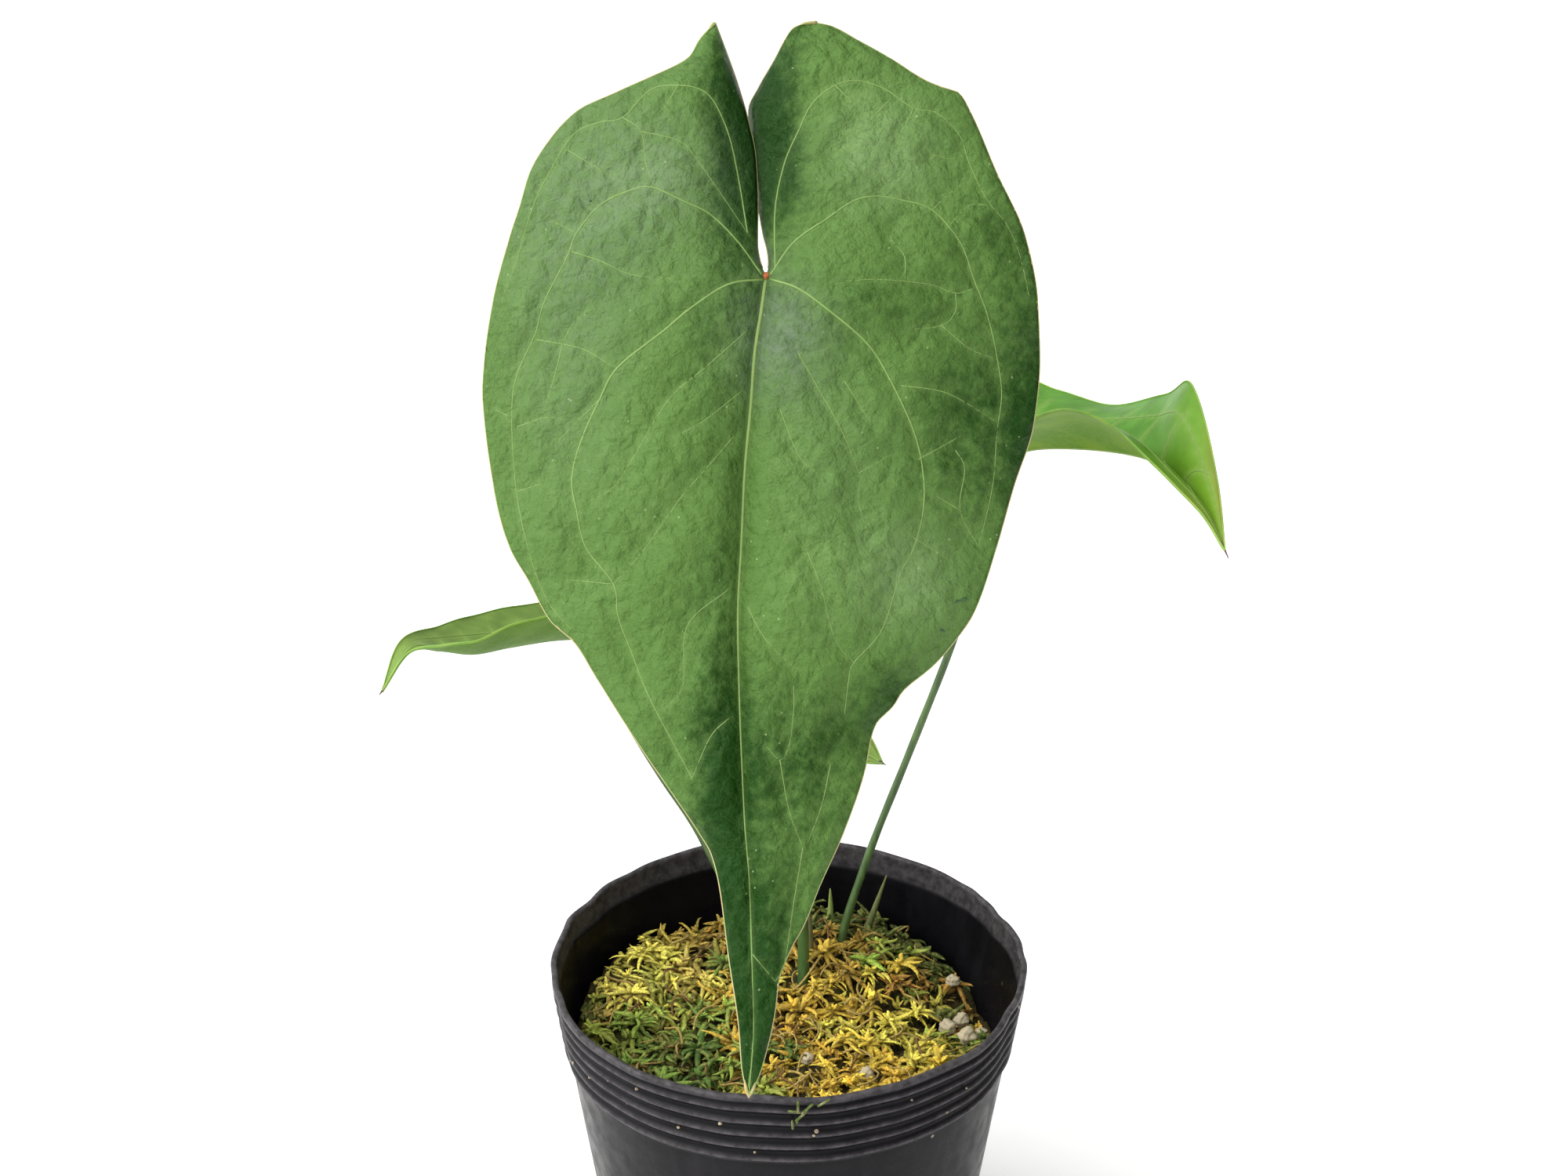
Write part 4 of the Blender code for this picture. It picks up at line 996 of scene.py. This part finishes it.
def tuft(x, y):
    """Arms of one tuft: the start, heading, rise, length, radius, droop, curl and tint of each."""
    tint = zone_colour(x, y, RANDOM.random(), RANDOM.random())
    size = RANDOM.uniform(0.9, 1.5)
    top = float(moss_height(x, y)) + clump(x, y) + RANDOM.uniform(-0.8, 1.2)
    starry = RANDOM.random() < 0.25
    lean = RANDOM.uniform(0, 2 * math.pi)
    arms = []
    for number in range(int(RANDOM.integers(15, 22))):
        upright = number < 4
        if starry:
            heading = 2.4 * number + lean + RANDOM.uniform(-0.35, 0.35)
        else:
            heading = RANDOM.uniform(0, 2 * math.pi)
        shift = RANDOM.uniform(0.0, 0.5 if starry or upright else 3.2)
        turn = RANDOM.uniform(0, 2 * math.pi)
        start_x, start_y = x + shift * math.cos(turn), y + shift * math.sin(turn)
        length = size * (RANDOM.uniform(1.6, 2.8) if upright else RANDOM.uniform(3.4, 6.6))
        end = math.hypot(start_x + length * math.cos(heading), start_y + length * math.sin(heading))
        if end > inner_radius(80.0) - 1.5:
            heading = math.atan2(-y, -x) + RANDOM.uniform(-0.9, 0.9)
            length *= 0.8
        start = (start_x, start_y, top - (0.3 if upright else RANDOM.uniform(0.4, 2.2)))
        rise = RANDOM.uniform(0.7, 1.3) if upright else RANDOM.uniform(-0.05, 0.85)
        radius = size * RANDOM.uniform(0.42, 0.72)
        droop = RANDOM.uniform(0.05, 0.35) if upright else RANDOM.uniform(0.1, 0.8)
        curl = RANDOM.uniform(-0.6, 0.6)
        # Brightness of each arm: random, with painted light on the upright arms and the tops of the cushions
        # and painted shade in the hollows between them
        shade = RANDOM.uniform(0.75, 1.4) * (1.25 if upright else 1.0) * (1.0 + 0.13 * clump(x, y))
        arms.append((start, heading, rise, length, radius, droop, curl, tint * shade))
    return arms


def make_moss():
    bed = make_bed()
    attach(bed, "root")
    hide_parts("moss_layer")
    groups = {"left": [], "front": [], "back": []}
    for x, y in scatter_heads():
        groups["left" if x < -12 else "front" if y < 4 else "back"].append((x, y))
    for name, heads in groups.items():
        body = Body()
        arms = [arm for x, y in heads for arm in tuft(x, y)]
        add_arms(body, *(np.array(values) for values in zip(*arms)))
        sprigs = body.make("moss_sprigs_" + name, [moss_look("moss_" + name, (0.62, 0.55, 0.16))])
        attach(sprigs, "root")


def make_strands():
    """Loose brown and straw-coloured fibres that lie across the moss."""
    body = Body()
    for number in range(STRAND_COUNT):
        angle, radius = RANDOM.uniform(0, 2 * math.pi), 50.0 * math.sqrt(RANDOM.random())
        x, y = radius * math.cos(angle), radius * math.sin(angle)
        heading = RANDOM.uniform(0, 2 * math.pi)
        length = RANDOM.uniform(5, 13)
        path = []
        for step in np.linspace(-0.5, 0.5, 8):
            bend = heading + 1.3 * step * math.sin(number)
            px, py = x + length * step * math.cos(bend), y + length * step * math.sin(bend)
            lift = 1.6 + 1.2 * math.cos(3.0 * step) + 0.3 * math.sin(number + 5 * step)
            path.append((px, py, float(moss_height(px, py)) + lift))
        if max(math.hypot(px, py) for px, py, _ in path) > 53.0:
            continue
        brown = number % 3 == 0
        tint = np.array((0.20, 0.09, 0.03)) if brown else np.array((0.50, 0.36, 0.10))
        radius = RANDOM.uniform(0.16, 0.34)
        body.add_tube(path, radius, 6, round_start=True, tint=tint * RANDOM.uniform(0.7, 1.2))
    strands = body.make("moss_strands", [moss_look("strand", (0.45, 0.30, 0.10))])
    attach(strands, "root")


def lump(body, centre, radius, seed, detail=3, squash=0.9, slot=0, **values):
    """A rough rounded lump."""
    shape = bmesh.new()
    bmesh.ops.create_icosphere(shape, subdivisions=detail, radius=1.0)
    points = np.array([tuple(vertex.co) for vertex in shape.verts])
    faces = [tuple(vertex.index for vertex in face.verts) for face in shape.faces]
    shape.free()
    x, y, z = points.T
    size = 1.0 + 0.12 * np.sin(4.1 * x + seed) * np.cos(3.7 * y - seed) + 0.08 * np.sin(7.3 * z + 2 * seed)
    size += 0.05 * np.sin(11.0 * x - 9.0 * y + seed) + 0.04 * np.cos(13.0 * z + 8.0 * x)
    points = points * size[:, None] * np.array((1.0, 1.0 - 0.12 * math.sin(seed), squash))
    body.add(np.asarray(centre) + radius * points, faces, slot, **values)


def make_grains():
    for number, (x, y, radius) in enumerate(GRAINS, start=1):
        body = Body()
        rise = 0.6 if y > -10.0 else -1.4
        height = float(moss_height(x, y)) + radius * 0.9 + rise
        lump(body, (x, y, height), radius, number * 1.7, detail=4)
        material = bpy.data.materials.get("perlite") or grain_look()
        grain = body.make(f"grain_{number}", [material])
        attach(grain, "root")
        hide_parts(f"perlite_grain_{number}")


def make_crumbs():
    """Crumbs of mix stuck to the outside of the wall and to the lip, and a few shreds of moss."""
    body = Body()
    for number, (degrees, height, size) in enumerate(CRUMBS):
        turn = math.radians(degrees)
        radius = wall_radius(height) + 0.7 + 0.15 * size
        if height > 104.0:
            radius = wall_radius(height) - 0.1
        centre = (radius * math.cos(turn), radius * math.sin(turn), height)
        lump(body, centre, 0.6 * size, number * 2.3, detail=2, tint=(0.40, 0.32, 0.24))
    for number, (degrees, height) in enumerate(SHREDS):
        turn = math.radians(degrees)
        radius = wall_radius(height) + 1.0
        middle = np.array((radius * math.cos(turn), radius * math.sin(turn), height))
        sway = np.array((math.sin(number * 2.1), 0.0, math.cos(number * 1.7)))
        path = [middle - 1.4 * sway, middle + np.array((0.0, -0.35, 0.2)), middle + 1.4 * sway]
        body.add_tube(even_curve(path, 0.5), 0.34, 6, round_start=True, tint=(0.085, 0.13, 0.02))
    crumbs = body.make("crumbs", [moss_look("crumb", (0.55, 0.45, 0.30))])
    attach(crumbs, "root")


# Large front leaf

def front_point(across, up, out):
    """World points of the large leaf. What lies further back is spread to keep the outline."""
    spread = 1.0 - out / VIEW_DISTANCE
    across = VIEW_FOOT[0] + (across - VIEW_FOOT[0]) * spread
    up = VIEW_FOOT[1] + (up - VIEW_FOOT[1]) * spread
    return (
        FRONT_JUNCTION + across[..., None] * FRONT_RIGHT + up[..., None] * FRONT_UP
        + np.asarray(out)[..., None] * FRONT_OUT
    )


def front_edges(up, side):
    """Inner and outer edge of one half of the large leaf at these heights, side 0 left and 1 right."""
    sinus, margin = ((LEFT_SINUS, LEFT_MARGIN), (RIGHT_SINUS, RIGHT_MARGIN))[side]
    lobe = up > 1e-6
    inner = np.where(lobe, read_smooth(across_up(sinus), up), read_smooth(across_up(MIDRIB), up))
    outer = read_smooth(across_up(margin), up)
    return inner, outer


def front_relief(part, up, side):
    """Broad relief of one half. part runs from 0 at the inner edge to 1 at the margin."""
    sinus, margin, swell = (
        (LEFT_SINUS_RELIEF, LEFT_MARGIN_RELIEF, LEFT_SWELL),
        (RIGHT_SINUS_RELIEF, RIGHT_MARGIN_RELIEF, RIGHT_SWELL),
    )[side]
    lobe = up > 1e-6
    inner = np.where(lobe, read_smooth(sinus, up), read_smooth(MIDRIB_RELIEF, up))
    outer = read_smooth(margin, up)
    part = np.clip(part, 0.0, 1.0)
    return inner * (1 - part) + outer * part + read_smooth(swell, up) * np.sin(math.pi * part ** SWELL_LEAN)


def front_ripple(across, up, part):
    """Slow unevenness and small puckers of the blade, and a slight wave along its margin."""
    slow = 0.6 * np.sin(0.105 * across + 0.4) * np.sin(0.09 * up + 1.0)
    slow += 0.4 * np.sin(0.23 * up - 0.17 * across)
    pucker = np.sin(0.9 * across + 1.3 * np.sin(0.41 * up))
    pucker *= np.sin(0.8 * up + 1.1 * np.sin(0.37 * across))
    slow += 0.24 * pucker
    slow += 0.12 * np.sin(1.7 * across + 0.6 * up) * np.sin(1.5 * up - 0.9 * across + 0.5)
    edge = 0.7 * np.sin(0.27 * up + 0.05 * across) * part ** 5
    inside = np.clip(part * 6.0, 0.0, 1.0)
    return inside * (slow + edge)


def tree_of(spots):
    """A search tree of points with two or three coordinates."""
    tree = kdtree.KDTree(len(spots))
    for number, spot in enumerate(spots):
        tree.insert((*spot, 0.0)[:3], number)
    tree.balance()
    return tree


def vein_tree():
    routes = [route for _, _, route in MAIN_VEINS] + list(SIDE_VEINS) + [MIDRIB]
    return tree_of(np.vstack([even_curve(route, 0.5) for route in routes]))


def front_half(side, tree, lobe_rows, blade_rows, columns):
    """Points, vein nearness and place of every grid point in one half of the large leaf."""
    levels = np.concatenate((
        LOBE_TOP * np.cos(math.pi / 2 * np.arange(lobe_rows) / lobe_rows),
        LEAF_TIP * np.linspace(0.0, 1.0, blade_rows + 1) ** 0.96,
    ))
    part = np.linspace(0.0, 1.0, columns)[None, :] * np.ones((len(levels), 1))
    up = levels[:, None] * np.ones((1, columns))
    inner, outer = front_edges(levels, side)
    across = inner[:, None] * (1 - part) + outer[:, None] * part
    near = np.array([
        tree.find((x, y, 0.0))[2] for x, y in zip(across.ravel(), up.ravel())
    ]).reshape(across.shape)
    width = np.abs(outer - inner)[:, None]
    fade = np.clip(width / 14.0, 0.0, 1.0) * np.clip((1 - part) * 8.0, 0.0, 1.0)
    out = front_relief(part, up, side) + front_ripple(across, up, part)
    out += 1.15 * fade * (1.0 - np.exp(-((near / 3.4) ** 2)))
    return front_point(across, up, out), near, across, up


def sum_of_patches(patches, across, up, start):
    total = start + 0.0 * across
    for x, y, wide, high, amount in patches:
        total = total + amount * np.exp(-((across - x) / wide) ** 2 - ((up - y) / high) ** 2)
    return total


def front_line(route, side, lift):
    """World points of a line drawn on the large leaf."""
    route = np.asarray(route, float)
    inner, outer = front_edges(route[:, 1], side)
    part = (route[:, 0] - inner) / np.where(np.abs(outer - inner) < 1e-6, 1e-6, outer - inner)
    part = np.clip(part, 0.0, 1.0)
    out = front_relief(part, route[:, 1], side) + front_ripple(route[:, 0], route[:, 1], part) + lift
    return front_point(route[:, 0], route[:, 1], out)


def side_of(route):
    x, y = np.mean(np.asarray(route, float), axis=0)
    if y > 0:
        return 0 if x < -2 else 1
    return 0 if x < float(read_smooth(across_up(MIDRIB), np.array([y]))[0]) else 1


def front_edge_line(route, side, part):
    """World points along an edge of the large leaf, part 0 for the sinus and 1 for the margin."""
    across, up = route.T
    full = np.full(len(route), part)
    out = front_relief(full, up, side) + front_ripple(across, up, full)
    return front_point(across, up, out)


def front_rim(side):
    """World points up the sinus and down the margin of one half of the large leaf."""
    levels = np.concatenate((
        LOBE_TOP * np.cos(math.pi / 2 * np.arange(60) / 60), LEAF_TIP * np.arange(181) / 180,
    ))
    inner, outer = front_edges(levels, side)
    lobe = levels > 1e-6
    sinus = np.column_stack((inner[lobe], levels[lobe]))[::-1]
    margin = np.column_stack((outer, levels))
    return np.vstack((front_edge_line(sinus, side, 0.0), front_edge_line(margin, side, 1.0)[1:]))


def add_front_veins(body):
    """Veins of the large leaf: thin on top, thicker on the underside, and thickest in the midrib."""
    for radius, paleness, route in MAIN_VEINS:
        path = even_curve(route, 1.2)
        side = side_of(route)
        fall = np.linspace(1.0, 0.35, len(path))
        above, below = front_line(path, side, -0.05), front_line(path, side, -BLADE - 0.05)
        body.add_tube(above, 0.8 * radius * fall, 6, VEIN, pale=paleness * fall.mean())
        body.add_tube(below, 1.2 * radius * fall, 6, VEIN, pale=0.45)
    for route in SIDE_VEINS:
        path = even_curve(route, 1.2)
        fall = np.linspace(1.0, 0.5, len(path))
        body.add_tube(front_line(path, side_of(route), -0.05), 0.16 * fall, 5, VEIN, pale=0.30)
    path = even_curve(MIDRIB, 1.5)
    fall = np.interp(np.linspace(0, 1, len(path)), (0.0, 0.25, 0.6, 1.0), (0.66, 0.46, 0.28, 0.14))
    body.add_tube(front_line(path, 0, -BLADE - 0.3), 1.7 * fall, 10, VEIN, pale=0.5)
    points, faces = tube(front_line(path, 0, 0.0), fall, 8)
    body.add(points, faces, VEIN, pale=1.0 - np.linspace(0.0, 0.85, len(points)))


def make_front_leaf():
    tree = vein_tree()
    lobe_rows, blade_rows, columns = LEAF_GRID
    halves = [front_half(side, tree, lobe_rows, blade_rows, columns) for side in range(2)]
    points, faces, origins = sheet_from_halves(halves[0][0], halves[1][0], lobe_rows)
    places = tuple(origins.T)
    near, across, up = (np.stack((halves[0][item], halves[1][item]))[places] for item in (1, 2, 3))
    solid, closed, kinds = thicken(points, faces, BLADE)
    # Painted light and shade over the blade's own tone, and a painted sheen, kept as values on the points
    tone = sum_of_patches(TONE_AND_SHADING, across, up, 0.5)
    wax = np.clip(sum_of_patches(PAINTED_SHEEN_PATCHES, across, up, 0.0), 0.0, 1.0)
    halo = np.exp(-((near / 0.7) ** 2))
    body = Body()
    body.add(solid, closed, kinds, tone=np.tile(tone, 2), vein=np.tile(halo, 2), wax=np.tile(wax, 2))
    add_front_veins(body)
    for side in range(2):
        body.add_tube(front_rim(side) - FRONT_OUT * BLADE * 0.5, 0.24, 6, EDGE)
    for scar in SCARS:
        path = even_curve(scar, 0.5)
        radii = 0.34 + 0.12 * np.sin(1.7 * np.arange(len(path)))
        body.add_tube(front_line(path, 1, 0.62), radii, 6, SCAR)
    lump(body, front_line((SPECK,), 0, 1.1)[0], 0.3, 1.0, detail=2, slot=SCAR)
    lump(body, front_line(((0.0, -0.2),), 0, 0.35)[0], 1.0, 3.0, squash=0.7, slot=KNOT)
    materials = [
        leaf_look(
            "leaf_top", (0.0070, 0.038, 0.0020), (0.076, 0.156, 0.033), (0.132, 0.234, 0.068),
            (0.22, 0.34, 0.11),
        ),
        underside_look("leaf_under", (0.085, 0.160, 0.035), (0.12, 0.20, 0.05)),
        margin_look("leaf_margin", (0.26, 0.33, 0.09), (0.38, 0.30, 0.13)),
        vein_look("leaf_vein", (0.085, 0.185, 0.035), (0.28, 0.40, 0.11)),
        margin_look("leaf_knot", (0.32, 0.07, 0.02), (0.42, 0.16, 0.04)),
        margin_look("leaf_scar", (0.010, 0.045, 0.008), (0.022, 0.075, 0.012)),
    ]
    leaf = body.make("front_leaf", materials)
    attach(leaf, "root")
    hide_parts("front_leaf_blade")


# Smaller leaves

def small_half(keel, sinus, margin, rows_per_station, columns, bulge, sag):
    """Grid of points of one half of a smaller leaf, shape (rows, columns, 3)."""
    places = np.arange(rows_per_station * (len(margin) - 1) + 1) / rows_per_station
    outer = smooth_curve(margin, places)
    lobe = smooth_curve((*sinus, keel[0]), places[places < 2])
    midrib = smooth_curve(keel, places[places >= 2] - 2)
    inner = np.vstack((lobe, midrib))
    along = np.gradient(inner, axis=0)
    out = np.cross(along, outer - inner)
    size = np.linalg.norm(out, axis=1)[:, None]
    out = np.where(size > 1e-9, out / np.maximum(size, 1e-9), 0.0)
    width = np.linalg.norm(outer - inner, axis=1)[:, None]
    part = np.linspace(0.0, 1.0, columns)
    arch = np.sin(math.pi * part ** 0.8)
    ripple = 0.10 * np.sin(places[:, None] * 5.0 + 9.0 * part[None, :]) * part[None, :] ** 2
    lift = bulge * width * arch[None, :] + sag * ripple * np.minimum(width, 12.0) * 0.1
    grid = inner[:, None, :] * (1 - part)[None, :, None] + outer[:, None, :] * part[None, :, None]
    return grid + out[:, None, :] * lift[:, :, None]


def grid_line(grid, rows, parts):
    """World points on a half blade at fractional rows and parts across it."""
    high, wide = grid.shape[0] - 1, grid.shape[1] - 1
    rows = np.clip(np.asarray(rows, float), 0, high - 1e-6)
    columns = np.clip(np.asarray(parts, float), 0, 1 - 1e-6) * wide
    row, column = rows.astype(int), columns.astype(int)
    r, c = (rows - row)[:, None], (columns - column)[:, None]
    return (
        grid[row, column] * (1 - r) * (1 - c) + grid[row + 1, column] * r * (1 - c)
        + grid[row, column + 1] * (1 - r) * c + grid[row + 1, column + 1] * r * c
    )


def small_veins(near_grid, far_grid, junction_row):
    """(line, radius) of the veins of a smaller leaf: an arched one, a lobe one and six slanting per half."""
    veins = []
    rows = near_grid.shape[0]
    last = rows - 1
    for grid in (near_grid, far_grid):
        bow = 0.62 * np.sin(np.linspace(0.12, math.pi * 0.72, 40)) ** 0.6
        veins.append((grid_line(grid, np.linspace(junction_row, last - 2, 40), bow), 0.22))
        lobe_rows = np.linspace(junction_row, junction_row * 0.35, 20)
        veins.append((grid_line(grid, lobe_rows, np.linspace(0.02, 0.6, 20)), 0.2))
        for number in range(6):
            start = junction_row + (last - junction_row) * (0.06 + 0.13 * number)
            slanting = np.linspace(start, start + rows * 0.075, 16)
            veins.append((grid_line(grid, slanting, np.linspace(0.0, 0.72, 16)), 0.15))
    return veins


def make_small_leaf(name, node, materials, slot_name, shape, needle, size, to_left):
    """A smaller heart-shaped leaf. size scales its veins, and needle is the length of its dark tip.

    to_left turns the faces of a leaf whose midrib runs to the left, so that its top looks up.
    """
    keel, near_sinus, near, far_sinus, far = shape
    rows_per_station, columns = SMALL_GRID
    near_grid = small_half(keel, near_sinus, near, rows_per_station, columns, -0.07, -1.0)
    far_grid = small_half(keel, far_sinus, far, rows_per_station, columns, 0.07, 1.0)
    junction_row = 2 * rows_per_station
    last = near_grid.shape[0] - 1
    halves = (far_grid, near_grid) if to_left else (near_grid, far_grid)
    points, faces, origins = sheet_from_halves(*halves, junction_row)
    solid, closed, kinds = thicken(points, faces, SMALL_BLADE)
    along = origins[:, 1] / last
    part = origins[:, 2] / (columns - 1)
    ripe = np.clip((along - 0.62) / 0.36, 0.0, 1.0) ** 1.3
    blush = np.clip((along - 0.80) / 0.16, 0.0, 1.0) * np.clip((part - 0.55) / 0.4, 0.0, 1.0) ** 2
    blush = np.maximum(blush, np.clip((along - 0.965) / 0.03, 0.0, 1.0))
    veins = small_veins(near_grid, far_grid, junction_row)
    tree = tree_of(np.vstack([line for line, _ in veins]))
    near_vein = np.array([tree.find(Vector(point))[2] for point in points])
    halo = np.exp(-((near_vein / 1.1) ** 2))
    body = Body()
    body.add(solid, closed, kinds, ripe=np.tile(ripe, 2), blush=np.tile(blush, 2), vein=np.tile(halo, 2))
    for line, radius in veins:
        body.add_tube(line, radius * size * np.linspace(1.0, 0.4, len(line)), 6, VEIN, pale=0.6)
    middle = grid_line(near_grid, np.linspace(junction_row, last, 60), np.zeros(60))
    body.add_tube(middle, size * np.linspace(0.62, 0.16, 60), 8, VEIN, pale=0.9)
    for grid in (near_grid, far_grid):
        edge = grid_line(grid, np.linspace(0, last, 140), np.ones(140))
        lobe = grid_line(grid, np.linspace(junction_row, 0, 30), np.zeros(30))
        body.add_tube(np.vstack((lobe, edge[1:])), 0.22, 6, EDGE)
    tip = np.array(keel[-1], float)
    heading = tip - np.array(keel[-2], float)
    heading /= np.linalg.norm(heading)
    path = even_curve([tip - heading * needle * 0.6, tip, tip + heading * needle * 0.5], 0.4)
    body.add_tube(path, 0.4 * np.linspace(1.0, 0.3, len(path)), 8, NEEDLE, round_start=True)
    leaf = body.make(name, materials)
    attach(leaf, "root")
    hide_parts(node)


def make_small_leaves():
    edge = margin_look("young_margin", (0.15, 0.30, 0.035), (0.22, 0.36, 0.05))
    needle = margin_look("young_needle", (0.045, 0.016, 0.022), (0.09, 0.035, 0.030))
    vein = vein_look("young_vein", (0.10, 0.20, 0.035), (0.24, 0.34, 0.09))
    for name, top, under, *rest in SMALL_LEAVES:
        looks = [young_leaf_look(name + "_top", *top), underside_look(name + "_under", *under)]
        make_small_leaf(name + "_leaf", name + "_leaf_blade", looks + [edge, vein, needle], *rest)


# Petioles and sheaths

def make_stems():
    looks = {name: stem_look(name, *look) for name, look in STEM_LOOKS.items()}
    for node, radius, look, line in PETIOLES:
        path = even_curve(line, 1.6)
        along = np.linspace(0.0, 1.0, len(path))
        run = along * len(path) * 1.6
        radii = radius * (1.0 + 0.55 * np.exp(-run / 14.0) + 0.32 * np.exp(-((run[-1] - run) / 9.0) ** 2))
        radii *= 1.0 + 0.03 * np.sin(run * 0.35)
        body = Body()
        body.add_tube(path, radii, 20)
        stem = body.make(node.replace("_petiole", "_stalk"), [looks[look]], outward=True)
        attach(stem, "root")
        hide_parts(node)
    for node, radius, look, line in SHEATHS:
        path = even_curve(line, 0.8)
        along = np.linspace(0.0, 1.0, len(path))
        body = Body()
        body.add_tube(path, radius * (1.0 - 0.85 * along ** 2), 18)
        side = np.array((1.0, 0.35, 0.0)) * radius * 0.5
        short = int(len(path) * 0.7)
        body.add_tube(path[:short] + side, radius * 0.55 * (1.0 - 0.8 * along[:short]), 12)
        sheath = body.make(node.replace("cataphyll", "sheath"), [looks[look]], outward=True)
        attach(sheath, "root")
        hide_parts(node)


def finish_hidden_nodes():
    """The potting mix shows only through the drain holes and the crown is buried: both get real looks."""
    mix = Look("potting_mix_look", 0.95, 0.2)
    crumbs = mix.noise(2.2, 5, 0.7)
    mix.colour(mix.mix(mix.between(crumbs, 0.35, 0.65), (0.018, 0.010, 0.006), (0.095, 0.055, 0.030)))
    mix.bump(crumbs, 1.2, 1.0)
    mix.bump(mix.noise(0.5, 4), 0.2, 0.7)
    bark = Look("crown_look", 0.85, 0.25)
    rings = bark.noise(2.5, 4, 0.6, (1.0, 1.0, 3.0))
    bark.colour(bark.mix(bark.between(rings, 0.3, 0.7), (0.045, 0.028, 0.014), (0.15, 0.10, 0.05)))
    bark.bump(rings, 0.8, 0.9)
    bark.bump(bark.noise(0.6, 4), 0.15, 0.6)
    for node, look in (("potting_mix", mix), ("crown", bark)):
        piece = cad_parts[node]
        piece.data.materials.clear()
        piece.data.materials.append(look.material)


# Studio

def make_studio():
    floor_body = Body()
    floor_body.add(((-6000, -6000, 0), (6000, -6000, 0), (6000, 6000, 0), (-6000, 6000, 0)), [(0, 1, 2, 3)])
    floor_look = Look("studio_floor", 0.9, 0.1)
    paper = floor_look.noise(40, 3)
    shade = floor_look.between(paper, 0.3, 0.7)
    floor_look.colour(floor_look.mix(shade, (0.93, 0.93, 0.93), (0.95, 0.95, 0.95)))
    floor = floor_body.make("studio_floor", [floor_look.material])

    world = bpy.data.worlds.new("studio")
    world.use_nodes = True
    tree = world.node_tree
    sky = tree.nodes["Background"]
    sky.inputs["Color"].default_value = (1.0, 0.995, 0.985, 1.0)
    place = tree.nodes.new("ShaderNodeTexCoord")
    facing = tree.nodes.new("ShaderNodeVectorMath")
    facing.operation = "DOT_PRODUCT"
    facing.inputs[1].default_value = Vector(SOFTBOX).normalized()
    tree.links.new(place.outputs["Generated"], facing.inputs[0])
    soft = tree.nodes.new("ShaderNodeMapRange")
    soft.interpolation_type = "SMOOTHSTEP"
    soft.inputs["From Min"].default_value = 0.1
    soft.inputs["From Max"].default_value = 1.0
    soft.inputs["To Min"].default_value = SKY_DARK
    soft.inputs["To Max"].default_value = SKY_BRIGHT
    tree.links.new(facing.outputs["Value"], soft.inputs["Value"])
    tree.links.new(soft.outputs["Result"], sky.inputs["Strength"])
    bpy.context.scene.world = world

    key = bpy.data.lights.new("key", "SUN")
    key.energy = 1.5
    key.angle = math.radians(50)
    key.color = (1.0, 0.985, 0.96)
    key_object = bpy.data.objects.new("key", key)
    key_object.rotation_euler = (-Vector(SOFTBOX)).to_track_quat("-Z", "Y").to_euler()
    bpy.context.scene.collection.objects.link(key_object)

    camera = bpy.data.cameras.new("camera")
    camera.lens = 70.0
    camera.sensor_width = 36.0
    camera.clip_end = 50.0
    camera_object = bpy.data.objects.new("camera", camera)
    camera_object.location = (-0.001, -0.656, 0.523)
    camera_object.rotation_euler = Vector((0.0, 0.9026, -0.4305)).to_track_quat("-Z", "Y").to_euler()
    bpy.context.scene.collection.objects.link(camera_object)
    bpy.context.scene.camera = camera_object
    bpy.context.scene.view_settings.view_transform = "Standard"


def main():
    make_pot()
    make_moss()
    make_strands()
    make_grains()
    make_crumbs()
    make_front_leaf()
    make_small_leaves()
    make_stems()
    finish_hidden_nodes()
    make_studio()


main()
